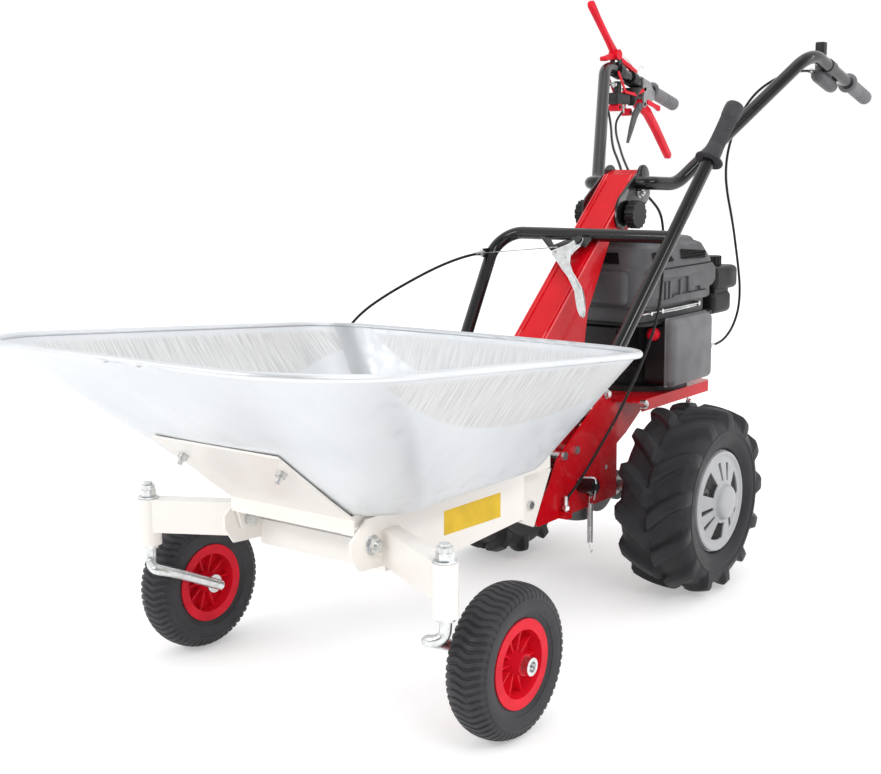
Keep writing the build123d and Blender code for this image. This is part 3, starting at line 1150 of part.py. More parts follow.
# Tipping frame: two rails, a cross tube at the rear and a bent plate under the tray's front wall
CROSS_W = 30.0
RAIL_REAR_X = CROSS_X - CROSS_W / 2
RAIL_FRONT_X = 980.0
RAIL_LOW_Z = TRAY_FLOOR_Z - RAIL_H
RAIL_SHEET = 3.0
CROSS_H = 30.0
FRONT_PLATE_W = 286.0
PIVOT_LUG = 7.0
LUG_INNER_Y = RAIL_Y + RAIL_W / 2 - 1
LATCH_PIVOT = (437.0, 343.0)  # X and Z
LATCH_Y = -158.0  # inner face of the latch hook
LATCH_SHEET = 6.0
LATCH_PIN_R = 5.0
with BuildPart() as tipping_frame:
    for side in (1, -1):
        with Locations(((RAIL_REAR_X + RAIL_FRONT_X) / 2, side * RAIL_Y, RAIL_LOW_Z)):
            Box(RAIL_FRONT_X - RAIL_REAR_X, RAIL_W, RAIL_H, align=(Align.CENTER, Align.CENTER, Align.MIN))
        with BuildSketch(Plane.XZ.offset(-side * LUG_INNER_Y)):
            with BuildLine():
                Polyline(
                    (PIVOT_X - 34, RAIL_LOW_Z + 16), (PIVOT_X + 34, RAIL_LOW_Z + 16),
                    (PIVOT_X + 16, PIVOT_Z - 15),
                    (PIVOT_X - 16, PIVOT_Z - 15), close=True,
                )
            make_face()
            with Locations((PIVOT_X, PIVOT_Z)):
                Circle(PIVOT_R + RUN_CLEAR, mode=Mode.SUBTRACT)
        extrude(amount=-side * PIVOT_LUG)
    with Locations((CROSS_X, (CROSS_LEFT - CROSS_RIGHT) / 2, TRAY_FLOOR_Z - CROSS_H)):
        Box(CROSS_W, CROSS_LEFT + CROSS_RIGHT, CROSS_H, align=(Align.CENTER, Align.CENTER, Align.MIN))
    for side in (1, -1):
        with Locations(((RAIL_REAR_X + RAIL_FRONT_X) / 2, side * RAIL_Y, RAIL_LOW_Z + RAIL_SHEET)):
            Box(
                RAIL_FRONT_X - RAIL_REAR_X + 2, RAIL_W - 2 * RAIL_SHEET, RAIL_H - 2 * RAIL_SHEET,
                align=(Align.CENTER, Align.CENTER, Align.MIN), mode=Mode.SUBTRACT,
            )
    with Locations((CROSS_X, (CROSS_LEFT - CROSS_RIGHT) / 2, TRAY_FLOOR_Z - CROSS_H + RAIL_SHEET)):
        Box(
            CROSS_W - 2 * RAIL_SHEET, CROSS_LEFT + CROSS_RIGHT + 2, CROSS_H - 2 * RAIL_SHEET,
            align=(Align.CENTER, Align.CENTER, Align.MIN), mode=Mode.SUBTRACT,
        )
    plate_low = wall_point(58, FRONT_PLATE_GAP)
    plate_top = wall_point(213, FRONT_PLATE_GAP)
    with BuildSketch(Plane.XZ):
        with BuildLine():
            front_fold = Polyline(
                (RAIL_FRONT_X - 1, RAIL_LOW_Z + 2), (RAIL_FRONT_X - 1, TRAY_FLOOR_Z - 4), plate_low, plate_top
            )
            offset(front_fold, amount=-FRONT_PLATE_SHEET, side=Side.RIGHT)
        make_face()
    extrude(amount=FRONT_PLATE_W / 2, both=True)
    with Locations(*FRONT_BOLTS):
        Cylinder(TRAY_BOLT_R + SEAT_CLEAR, 90, mode=Mode.SUBTRACT)
    with BuildSketch(Plane.XZ.offset(-LATCH_Y - 1.2)):
        with BuildLine():
            Polyline(
                (CROSS_X + 10, 335), (CROSS_X + 10, 360), (LATCH_PIVOT[0] + 6, 356),
                (LATCH_PIVOT[0] + 10, 334),
                close=True,
            )
        make_face()
    extrude(amount=-6)
    with Locations((CROSS_X + 12, -CROSS_RIGHT, 349)):
        Box(28, 4, 22, align=(Align.MIN, Align.MIN, Align.CENTER))
    with Locations(Location((LATCH_PIVOT[0], LATCH_Y + 2, LATCH_PIVOT[1]), (90, 0, 0))):
        Cylinder(LATCH_PIN_R, LATCH_SHEET + 8, align=(Align.CENTER, Align.CENTER, Align.MIN))
pieces["tipping_frame"] = tipping_frame

# Bolts that hold the tray to its frame
HEAD_R = 11.0
HEAD_H = 4.0
with BuildPart() as tray_bolts:
    with Locations(*FRONT_BOLTS):
        Cylinder(TRAY_BOLT_R, 24, align=(Align.CENTER, Align.CENTER, Align.MAX))
        Cylinder(TRAY_BOLT_R, HEAD_H + 1, align=(Align.CENTER, Align.CENTER, Align.MIN))
        with Locations((0, 0, HEAD_H)):
            Cylinder(HEAD_R, HEAD_H, align=(Align.CENTER, Align.CENTER, Align.MIN))
        with Locations((0, 0, -FRONT_PLATE_GAP - FRONT_PLATE_SHEET - 0.4)):
            Cylinder(9, 8, align=(Align.CENTER, Align.CENTER, Align.MAX))
pieces["tray_bolts"] = tray_bolts

# Bolts of the fixed frame: tipping pivots, column foot, deck, gearbox and coupler
with BuildPart() as frame_bolts:
    for side in (1, -1):
        with Locations(Location((PIVOT_X, side * (LUG_INNER_Y - 12), PIVOT_Z), (-90 * side, 0, 0))):
            Cylinder(PIVOT_R, PLATE_Y - LUG_INNER_Y + 30, align=(Align.CENTER, Align.CENTER, Align.MIN))
            Cylinder(13, 12 - SLIP_GAP, align=(Align.CENTER, Align.CENTER, Align.MIN))
        with BuildSketch(Plane.XZ.offset(-side * PLATE_Y)):
            with Locations((PIVOT_X, PIVOT_Z)):
                Circle(17)
        extrude(amount=-side * 3)
        with BuildSketch(Plane.XZ.offset(-side * (PLATE_Y + 3))):
            with Locations((PIVOT_X, PIVOT_Z)):
                RegularPolygon(14, 6)
        extrude(amount=-side * 11)
        with BuildSketch(Plane.XZ.offset(-side * HITCH_Y)):
            with Locations(*PLATE_BOLTS):
                RegularPolygon(9.5, 6)
        extrude(amount=-side * 7)
        with Locations(Location((DECK_BOLT[0], side * (HITCH_Y + 1), DECK_BOLT[1]), (90 * side, 0, 0))):
            Cylinder(BOLT_R, 26, align=(Align.CENTER, Align.CENTER, Align.MIN))
        with BuildSketch(Plane.XZ.offset(-side * (LEG_Y - HITCH_SHEET))):
            with Locations(DECK_BOLT):
                RegularPolygon(9.5, 6)
        extrude(amount=side * 7)
        with Locations(Location((CASE_BOLT[0], side * (HITCH_Y + 1), CASE_BOLT[1]), (90 * side, 0, 0))):
            Cylinder(BOLT_R, 26, align=(Align.CENTER, Align.CENTER, Align.MIN))
        with BuildSketch(Plane.XZ.offset(-side * (STRIP_Y + PLATE_SHEET))):
            with Locations((BLOCK_X, TONGUE_LOW + 24)):
                RegularPolygon(9.5, 6)
        extrude(amount=-side * 7)
        for foot_x, foot_z in PLATE_BOLTS:
            with Locations(Location((foot_x, side * COLUMN_HALF_W, foot_z), (-90 * side, 0, 0))):
                Cylinder(9, LEG_Y - COLUMN_HALF_W, align=(Align.CENTER, Align.CENTER, Align.MIN))
    for foot_x, foot_z in PLATE_BOLTS:
        with Locations(Location((foot_x, 0, foot_z), (90, 0, 0))):
            Cylinder(BOLT_R, 2 * HITCH_Y + 2)
    with Locations(Location((BLOCK_X, 0, TONGUE_LOW + 24), (90, 0, 0))):
        Cylinder(BOLT_R, 2 * (STRIP_Y + PLATE_SHEET) + 2)
pieces["frame_bolts"] = frame_bolts

# Latch plate that swings on the tipping frame and stands behind the striker pin of the cart frame
HOOK_GAP = 1.0
HOOK_BELOW = 12.0  # how far the plate reaches below the pin
with BuildPart() as latch_hook:
    with BuildSketch(Plane.XZ.offset(-LATCH_Y)):
        with BuildLine():
            FilletPolyline(
                (LATCH_PIVOT[0] - 11, LATCH_PIVOT[1] + 10),
                (LATCH_PIVOT[0] + 11, LATCH_PIVOT[1] + 10),
                (STRIKER[0] - STRIKER_R - HOOK_GAP, STRIKER[1] + 8),
                (STRIKER[0] - STRIKER_R - HOOK_GAP, STRIKER[1] - STRIKER_R - HOOK_BELOW),
                (STRIKER[0] - STRIKER_R - 14, STRIKER[1] - STRIKER_R - HOOK_BELOW),
                radius=2, close=True,
            )
        make_face()
        with Locations(LATCH_PIVOT):
            Circle(LATCH_PIN_R + RUN_CLEAR, mode=Mode.SUBTRACT)
    extrude(amount=LATCH_SHEET)
pieces["latch_hook"] = latch_hook


# Tipping handle: a right leg that bends into the crossbar, and a left leg that goes on up to the grip
def leg_point(z):
    """A point on the left leg's straight upper part."""
    return (BAR_X + LEG_LEAN * (BAR_Z - z), BAR_Y - LEG_SPREAD * (BAR_Z - z), z)


LEG_FOOT_Y = 118.0
knee = leg_point(LEG_KNEE_Z)
leg_top = leg_point(LEG_TOP_Z)
LEFT_LEG = [(CROSS_X, LEG_FOOT_Y, TRAY_FLOOR_Z), (CROSS_X, LEG_FOOT_Y, TRAY_FLOOR_Z + 36), knee, leg_top]
RIGHT_LEG = [
    (CROSS_X, -LEG_FOOT_Y, TRAY_FLOOR_Z), (CROSS_X, -LEG_FOOT_Y, TRAY_FLOOR_Z + 36),
    (knee[0], -knee[1], knee[2]),
    (BAR_X, -BAR_Y, BAR_Z), (BAR_X, BAR_Y, BAR_Z),
]
LEVER_PIVOT = (79.0, 12.0, 753.0)
LEVER_SHEET = 5.0
LEVER_PIN_R = 5.0
LEVER_PLANE = Plane(origin=LEVER_PIVOT, x_dir=(0, 1, 0), z_dir=(FACE_N[0], 0, FACE_N[1]))
BRACKET_BACK = LEVER_SHEET / 2 + SLIP_GAP
TAB = leg_point(722)
with BuildPart() as tip_handle:
    add(tube(LEFT_LEG, [30, 120], HANDLE_R).part)
    add(tube(RIGHT_LEG, [30, 120, 62], HANDLE_R).part)
    with BuildSketch(LEVER_PLANE.offset(-BRACKET_BACK - 4)):
        with BuildLine():
            Polyline((-34, 26), (26, 26), (18, -12), (-14, -12), close=True)
        make_face()
    extrude(amount=4)
    with BuildSketch(LEVER_PLANE.offset(-BRACKET_BACK - 2)):
        Circle(LEVER_PIN_R)
    extrude(amount=BRACKET_BACK + 2 + LEVER_SHEET / 2 + SLIP_GAP)
    with BuildSketch(LEVER_PLANE.offset(LEVER_SHEET / 2 + SLIP_GAP)):
        Circle(LEVER_PIN_R + 4)
    extrude(amount=5)
    with Locations((TAB[0] + 18, -TAB[1], TAB[2])):
        Box(30, 5, 20)
    add(tube(LEFT_LEG, [30, 120], HANDLE_R - HANDLE_WALL).part, mode=Mode.SUBTRACT)
    add(
        tube(RIGHT_LEG[:-1] + [(BAR_X, BAR_Y - HANDLE_R, BAR_Z)], [30, 120, 62], HANDLE_R - HANDLE_WALL).part,
        mode=Mode.SUBTRACT,
    )
pieces["tip_handle"] = tip_handle

leg_way = Vector(*leg_top) - Vector(*knee)
leg_way = leg_way / leg_way.length
GRIP_PLANE = Plane(origin=Vector(*leg_top) + leg_way * 3, z_dir=-leg_way)
with BuildPart() as tip_grip:
    with BuildSketch(GRIP_PLANE):
        Circle(GRIP_R)
    extrude(amount=GRIP_LENGTH)
    with BuildSketch(GRIP_PLANE.offset(GRIP_LENGTH - 6)):
        Circle(GRIP_R + 8)
    extrude(amount=6)
    with BuildSketch(GRIP_PLANE.offset(3)):
        Circle(HANDLE_R + SEAT_CLEAR)
    extrude(amount=GRIP_LENGTH, mode=Mode.SUBTRACT)
pieces["tip_grip"] = tip_grip

with BuildPart() as release_lever:
    with BuildSketch(LEVER_PLANE.offset(-LEVER_SHEET / 2)):
        with BuildLine():
            FilletPolyline(
                (-8, 9), (9, 9), (16, -14), (20, -62), (62, -124), (112, -180), (98, -192), (48, -134),
                (4, -66),
                (-8, -40), (-52, -30), (-54, -14),
                radius=4, close=True,
            )
        make_face()
        Circle(LEVER_PIN_R + RUN_CLEAR, mode=Mode.SUBTRACT)
        with Locations((-44, -23)):
            Circle(2.5, mode=Mode.SUBTRACT)
    extrude(amount=LEVER_SHEET)
pieces["release_lever"] = release_lever

# Handlebar: a bracket that swings on the column, a clamp rod with two knobs, and two bent tubes
BRACKET_Y = COLUMN_HALF_W + SLIP_GAP
BRACKET_OUT_Y = BRACKET_Y + BRACKET_SHEET
with BuildPart() as handlebar_bracket:
    for side in (1, -1):
        with BuildSketch(Plane.XZ.offset(-side * BRACKET_Y)):
            with BuildLine():
                FilletPolyline(
                    (-163, 912), (-152, 928), (-132, 928), (-94, 884), (-28, 836), (-20, 786), (-52, 772),
                    (-112, 796),
                    (-172, 838), (-172, 872),
                    radius=8, close=True,
                )
            make_face()
            with Locations(CLAMP):
                Circle(CLAMP_ROD_R + RUN_CLEAR, mode=Mode.SUBTRACT)
            with Locations((-44, 828)):
                Circle(5, mode=Mode.SUBTRACT)
        extrude(amount=-side * BRACKET_SHEET)
        with BuildSketch(Plane.XZ.offset(-side * BRACKET_OUT_Y)):
            with Locations(HEIGHT_PIVOT):
                RegularPolygon(8, 6)
        extrude(amount=-side * 7)
    with Locations(Location((HEIGHT_PIVOT[0], 0, HEIGHT_PIVOT[1]), (90, 0, 0))):
        Cylinder(HINGE_R, 2 * BRACKET_OUT_Y + 2)
pieces["handlebar_bracket"] = handlebar_bracket

KNOB_RIBS = 14
with BuildPart() as clamp_knobs:
    with Locations(Location((CLAMP[0], 0, CLAMP[1]), (90, 0, 0))):
        Cylinder(CLAMP_ROD_R, 2 * BRACKET_OUT_Y + 20)
    for side in (1, -1):
        with BuildSketch(Plane.XZ.offset(-side * (BRACKET_OUT_Y + SLIP_GAP))):
            with Locations(CLAMP):
                Circle(14)
        extrude(amount=-side * 8)
        with BuildSketch(Plane.XZ.offset(-side * (BRACKET_OUT_Y + SLIP_GAP + 7))):
            with Locations(CLAMP):
                Circle(KNOB_R)
                with PolarLocations(KNOB_R + 1.5, KNOB_RIBS):
                    Circle(4, mode=Mode.SUBTRACT)
        extrude(amount=-side * 22)
pieces["clamp_knobs"] = clamp_knobs

BAR_FALL = atan((1164 - 1066) / (880 - 512))  # slope of the tubes at the grips
BAR_END_X = 9.3 - REAR_REACH
BAR_END_Z = 1164 - tan(BAR_FALL) * (-512 - BAR_END_X)
BAR_POINTS = [
    (-112, BRACKET_OUT_Y, 872), (-112, 78, 872), (-188, 103, 868), (-512, 278, 1164),
    (BAR_END_X, 273, BAR_END_Z),
]
BAR_BENDS = [22, 60, 90]
handlebar_left = tube(BAR_POINTS, BAR_BENDS, BAR_TUBE_R, BAR_TUBE_R - BAR_TUBE_WALL)
pieces["handlebar_left"] = handlebar_left
pieces["handlebar_right"] = mirrored(handlebar_left)


def bar_point(x):
    """A point on the left tube's straight rear part."""
    share = (x + 512) / (BAR_END_X + 512)
    return Vector(x, 278 - 5 * share, 1164 + (BAR_END_Z - 1164) * share)


bar_way = (bar_point(-800) - bar_point(-700)).normalized()
HAND_PLANE = Plane(origin=bar_point(BAR_END_X) + bar_way * 5, z_dir=-bar_way)
with BuildPart() as hand_grip:
    with BuildSketch(HAND_PLANE):
        Circle(HAND_GRIP_R)
    extrude(amount=HAND_GRIP_LENGTH + 5)
    with BuildSketch(HAND_PLANE.offset(HAND_GRIP_LENGTH - 1)):
        Circle(HAND_GRIP_R + 7)
    extrude(amount=6)
    with BuildSketch(HAND_PLANE.offset(5)):
        Circle(BAR_TUBE_R + SEAT_CLEAR)
    extrude(amount=HAND_GRIP_LENGTH + 10, mode=Mode.SUBTRACT)
with BuildPart() as handlebar_grips:
    add(hand_grip.part)
    mirror(hand_grip.part, about=Plane.XZ)
pieces["handlebar_grips"] = handlebar_grips

# A clearance rod for pieces that are clamped on the tubes
CLAMP_PLANE = Plane(origin=bar_point(-520), z_dir=bar_way)
with BuildPart() as bar_space:
    with BuildSketch(CLAMP_PLANE):
        Circle(BAR_TUBE_R + SEAT_CLEAR)
    extrude(amount=260)
right_bar_space = mirrored(bar_space)

# Right control housing with the clutch lever under it, the reverse lever above and the safety lever beside it
CONTROL_Y = -275.0
CONTROL_HALF = 21.0
REVERSE_PIVOT = (-558.0, 1188.0)
CLUTCH_PIVOT = (-688.0, 1064.0)
SAFETY_PIVOT = (-640.0, 1056.0)
CONTROL_PIN_R = 5.0
CLUTCH_HALF = 8.0
REVERSE_Y = -257.0  # outer face of the reverse lever
REVERSE_SHEET = 12.0
SAFETY_SHEET = 8.0
CABLE_R = 3.0
CABLE_A_START = Vector(-590, -270, 1044)
CABLE_A_NEXT = Vector(-545, -262, 1024)
cable_a_way = (CABLE_A_NEXT - CABLE_A_START).normalized()
CLAMP_AT = [Plane(origin=bar_point(x), z_dir=bar_way) for x in (-570, -640)]
with BuildPart() as control_bands:
    for band in CLAMP_AT:
        with BuildSketch(band):
            Circle(BAR_TUBE_R + 7)
        extrude(amount=26)
with BuildPart() as right_control_housing:
    with BuildSketch(Plane.XZ.offset(-(CONTROL_Y - CONTROL_HALF))):
        with BuildLine():
            FilletPolyline(
                (-530, 1130), (-600, 1126), (-690, 1102), (-704, 1062), (-672, 1042), (-600, 1060),
                (-530, 1092),
                radius=6, close=True,
            )
        make_face()
    extrude(amount=-2 * CONTROL_HALF)
    mirror(control_bands.part, about=Plane.XZ)
    with BuildSketch(Plane.XZ.offset(-(CONTROL_Y - 10))):
        with BuildLine():
            FilletPolyline(
                (-606, 1140), (-574, 1200), (-544, 1200), (-556, 1140), radius=6, close=True
            )
        make_face()
    extrude(amount=-20)
    with Locations((-680, CONTROL_Y, 1062)):
        Box(70, 2 * (CLUTCH_HALF + SLIP_GAP), 76, mode=Mode.SUBTRACT)
    with Locations(Location((CLUTCH_PIVOT[0], CONTROL_Y, CLUTCH_PIVOT[1]), (90, 0, 0))):
        Cylinder(CONTROL_PIN_R, 2 * CONTROL_HALF)
    with Locations(Location((REVERSE_PIVOT[0], CONTROL_Y, REVERSE_PIVOT[1]), (-90, 0, 0))):
        Cylinder(
            CONTROL_PIN_R, REVERSE_Y - CONTROL_Y + REVERSE_SHEET + 4,
            align=(Align.CENTER, Align.CENTER, Align.MIN)
        )
    with Locations(Location((SAFETY_PIVOT[0], CONTROL_Y + CONTROL_HALF - 4, SAFETY_PIVOT[1]), (-90, 0, 0))):
        Cylinder(CONTROL_PIN_R, SAFETY_SHEET + 10, align=(Align.CENTER, Align.CENTER, Align.MIN))
    with BuildSketch(Plane(origin=CABLE_A_START - cable_a_way * 36, z_dir=cable_a_way)):
        Circle(CABLE_R + 2)
    extrude(amount=36)
    add(right_bar_space.part, mode=Mode.SUBTRACT)
pieces["right_control_housing"] = right_control_housing

with BuildPart() as clutch_lever:
    with BuildSketch(Plane.XZ.offset(-(CONTROL_Y - CLUTCH_HALF))):
        with BuildLine():
            FilletPolyline(
                (-676, 1072), (-692, 1078), (-730, 1044), (-786, 990), (-850, 938), (-840, 918), (-776, 966),
                (-716, 1022), (-682, 1050),
                radius=6, close=True,
            )
        make_face()
        with Locations(CLUTCH_PIVOT):
            Circle(CONTROL_PIN_R + RUN_CLEAR, mode=Mode.SUBTRACT)
    extrude(amount=-2 * CLUTCH_HALF)
pieces["clutch_lever"] = clutch_lever

with BuildPart() as reverse_lever:
    with BuildSketch(Plane.XZ.offset(-REVERSE_Y)):
        with BuildLine():
            FilletPolyline(
                (-570, 1180), (-560, 1202), (-500, 1256), (-432, 1320), (-412, 1298), (-478, 1238),
                (-546, 1176),
                radius=6, close=True,
            )
        make_face()
        with Locations(REVERSE_PIVOT):
            Circle(CONTROL_PIN_R + RUN_CLEAR, mode=Mode.SUBTRACT)
    extrude(amount=-REVERSE_SHEET)
pieces["reverse_lever"] = reverse_lever

with BuildPart() as safety_lever:
    with BuildSketch(Plane.XZ.offset(-(CONTROL_Y + CONTROL_HALF + SLIP_GAP))):
        with BuildLine():
            FilletPolyline(
                (-650, 1066), (-630, 1066), (-622, 1026), (-606, 960), (-622, 956), (-638, 1024),
                (-650, 1048),
                radius=5, close=True,
            )
        make_face()
        with Locations(SAFETY_PIVOT):
            Circle(CONTROL_PIN_R + RUN_CLEAR, mode=Mode.SUBTRACT)
    extrude(amount=-SAFETY_SHEET)
pieces["safety_lever"] = safety_lever

# Throttle on the left tube
THROTTLE_Y = 243.0  # inner face of the housing
THROTTLE_PIVOT = (-640.0, 1112.0)
THROTTLE_PIN_R = 4.0
THROTTLE_SHEET = 5.0
THROTTLE_BAND = Plane(origin=bar_point(-668), z_dir=bar_way)
with BuildPart() as throttle_housing:
    with BuildSketch(Plane.XZ.offset(-THROTTLE_Y)):
        with BuildLine():
            FilletPolyline(
                (-576, 1138), (-650, 1128), (-724, 1112), (-728, 1096), (-676, 1080), (-640, 1092),
                (-576, 1112),
                radius=5, close=True,
            )
        make_face()
    extrude(amount=-26)
    with BuildSketch(THROTTLE_BAND):
        Circle(BAR_TUBE_R + 6)
    extrude(amount=34)
    with Locations(Location((THROTTLE_PIVOT[0], THROTTLE_Y + 2, THROTTLE_PIVOT[1]), (90, 0, 0))):
        Cylinder(THROTTLE_PIN_R, THROTTLE_SHEET + 6, align=(Align.CENTER, Align.CENTER, Align.MIN))
    add(bar_space.part, mode=Mode.SUBTRACT)
pieces["throttle_housing"] = throttle_housing

with BuildPart() as throttle_lever:
    with BuildSketch(Plane.XZ.offset(-(THROTTLE_Y - SLIP_GAP))):
        with BuildLine():
            FilletPolyline(
                (-652, 1108), (-648, 1124), (-658, 1170), (-648, 1174), (-632, 1124), (-628, 1104),
                (-640, 1098),
                radius=3, close=True,
            )
        make_face()
        with Locations(THROTTLE_PIVOT):
            Circle(THROTTLE_PIN_R + RUN_CLEAR, mode=Mode.SUBTRACT)
    extrude(amount=THROTTLE_SHEET)
    with BuildSketch(Plane.XZ.offset(-(THROTTLE_Y + 6))):
        with Locations((-653, 1184)):
            Circle(14)
    extrude(amount=20)
    fillet(throttle_lever.faces().sort_by(Axis.Y)[0].edges(), 4)
pieces["throttle_lever"] = throttle_lever


# Cables
def cord(name, points):
    """A free cable: straight runs joined by arcs as large as the runs allow."""
    corners = [Vector(*point) for point in points]
    runs = [after - before for before, after in zip(corners, corners[1:])]
    bends = []
    for run, following in zip(runs, runs[1:]):
        half_turn = radians(run.get_angle(following)) / 2
        bends.append(0.45 * min(run.length, following.length) / tan(half_turn))
    piece = tube(points, bends, CABLE_R)
    with BuildLine() as route:
        FilletPolyline(*points, radius=bends)
    length = route.wires()[0].length
    fill = piece.part.volume / (pi * CABLE_R**2 * length)
    print(f"{name}: length {length:.0f} mm, tightest bend {min(bends):.0f} mm, filled {fill:.4f}")
    return piece


THROTTLE_CABLE = [
    (-576, 252, 1124), (-534, 252, 1124), (-488, 236, 1118), (-452, 207, 1100), (-420, 182, 1072),
    (-394, 165, 1034),
    (-374, 152, 988), (-362, 143, 938), (-368, 136, 888), (-392, 130, 842), (-420, 126, 800),
    (-446, 123, 754),
    (-466, 121, 706), (-484, 120, 658), (-494, 121, 608), (-484, 124, 560), (-450, 128, 522),
    (-404, 132, 498),
    (-350, 135, 486), (-300, 135, 486),
]
CLUTCH_CABLE = [
    tuple(CABLE_A_START), tuple(CABLE_A_NEXT), (-502, -240, 998), (-462, -212, 974), (-420, -180, 954),
    (-375, -148, 936), (-330, -114, 918), (-286, -78, 898), (-244, -40, 876), (-212, -2, 854),
    (-194, 36, 832),
    (-176, 70, 806), (-150, 92, 772), (-122, 108, 732), (-96, 122, 690), (-72, 132, 644), (-46, 140, 598),
    (-12, 146, 554), (28, 150, 512), (70, 152, 470), (112, 151, 428), (152, 147, 384), (190, 138, 340),
    (220, 124, 294),
    (240, 104, 250), (CABLE_STOP[0], CABLE_STOP[1], 226), CABLE_STOP,
]
REVERSE_CABLE = [
    (-530, -272, 1112), (-498, -272, 1112), (-460, -246, 1076), (-420, -210, 1030), (-372, -176, 998),
    (-320, -144, 972),
    (-268, -108, 946), (-224, -70, 922), (-186, -38, 898), (-150, -16, 878), (-110, -6, 868),
]
RELEASE_CABLE = [
    (TAB[0] + 33, -TAB[1], TAB[2]), (150, -TAB[1], TAB[2]), (190, -238, 712), (230, -272, 692),
    (268, -312, 664),
    (304, -352, 634), (336, -390, 600), (362, -418, 558), (378, -424, 510), (388, -402, 462),
    (396, -360, 424),
    (406, -312, 394), (418, -262, 368), (430, -224, 350), (430, -CROSS_RIGHT, 350),
]
pieces["throttle_cable"] = cord("throttle_cable", THROTTLE_CABLE)
pieces["release_cable"] = cord("release_cable", RELEASE_CABLE)
with BuildPart() as lever_cables:
    add(cord("clutch cable", CLUTCH_CABLE).part)
    add(cord("reverse cable", REVERSE_CABLE).part)
pieces["lever_cables"] = lever_cables

# Hanging tension spring: a hook over the coupler's ring, close turns and a lower hook
SPRING_R = 5.6  # to the middle of the wire
WIRE_R = 0.9
SPRING_PITCH = 2.3
SPRING_TURNS = 38
SPRING_TOP_Z = 199.0
HOOK_R = 3.4
RING_LOW_Z = RING_Z - 7
TAIL_R = 5.0


def spring_point(turn):
    """A point of the helix and its direction, a number of turns from the top."""
    angle = 2 * pi * turn
    rise = SPRING_PITCH / (2 * pi)
    place = Vector(
        RING_X + SPRING_R * cos(angle), RING_Y + SPRING_R * sin(angle), SPRING_TOP_Z - SPRING_PITCH * turn
    )
    return place, Vector(-SPRING_R * sin(angle), SPRING_R * cos(angle), -rise).normalized()


def biarc(start, start_way, end, end_way):
    """Two tangent arcs from one point and direction to another."""
    chord = end - start
    ways = start_way + end_way
    spread = 2 * (1 - start_way.dot(end_way))
    lead = (-chord.dot(ways) + (chord.dot(ways) ** 2 + spread * chord.dot(chord)) ** 0.5) / spread
    first = start + start_way * lead
    last = end - end_way * lead
    middle = (first + last) * 0.5
    TangentArc(start, middle, tangent=start_way)
    TangentArc(middle, end, tangent=last - first)


DOWN = Vector(0, 0, -1)
with BuildLine() as spring_route:
    hook_rear = Vector(RING_X - HOOK_R, RING_Y, RING_LOW_Z)
    hook_front = Vector(RING_X + HOOK_R, RING_Y, RING_LOW_Z)
    Line(hook_rear + DOWN * 5, hook_rear)
    TangentArc(hook_rear, hook_front, tangent=-DOWN)
    Line(hook_front, hook_front + DOWN * 6)
    biarc(hook_front + DOWN * 6, DOWN, *spring_point(0))
    for step in range(2 * SPRING_TURNS):
        biarc(*spring_point(step / 2), *spring_point(step / 2 + 0.5))
    tail = Vector(RING_X, RING_Y, SPRING_TOP_Z - SPRING_PITCH * SPRING_TURNS - 10)
    biarc(*spring_point(SPRING_TURNS), tail, DOWN)
    Line(tail, tail + DOWN * 8)
    TangentArc(tail + DOWN * 8, tail + DOWN * 8 - Vector(2 * TAIL_R, 0, 0), tangent=DOWN)
spring_path = spring_route.wires()[0]
with BuildPart() as hang_spring:
    with BuildSketch(Plane(origin=spring_path @ 0, z_dir=spring_path % 0)):
        Circle(WIRE_R)
    sweep(path=spring_path)
pieces["hang_spring"] = hang_spring

# The least gap between stretches of the spring's wire that are more than half a turn apart
SAMPLES = 3000
spread = [spring_path @ (index / SAMPLES) for index in range(SAMPLES + 1)]
half_turn_steps = int(pi * SPRING_R / spring_path.length * SAMPLES)
turn_steps = 3 * half_turn_steps
least_gap = min(
    (spread[index] - other).length
    for index in range(SAMPLES + 1)
    for other in spread[index + half_turn_steps : index + turn_steps]
)
fill = hang_spring.part.volume / (pi * WIRE_R**2 * spring_path.length)
print(f"hang_spring: least gap to itself {least_gap - 2 * WIRE_R:.2f} mm, filled {fill:.4f}")

# Move the pieces to the shared origin and write them out
AXLE_X = (REAR_REACH - FRONT_REACH) / 2
TO_ORIGIN = Location((AXLE_X, 0, 0))
for name, piece in pieces.items():
    placed = piece.part.moved(TO_ORIGIN)
    placed.label = name
    export_step(placed, f"parts/{name}.step")
print(f"{len(pieces)} pieces, rear axle at X {AXLE_X}")
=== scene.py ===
# %% [markdown]
# # A powered barrow on a white studio floor
# The machine is a small two-wheel tractor that pushes a tipping tray. Its metal pieces come from the CAD
# frame, already in place and in metres. This lesson paints them, models what the frame leaves plain, such
# as treads, grips, grilles and cables, and lights the whole like a catalogue picture.

from math import atan2, cos, pi, radians, sin

import bmesh
import bpy
from mathutils import Matrix, Vector


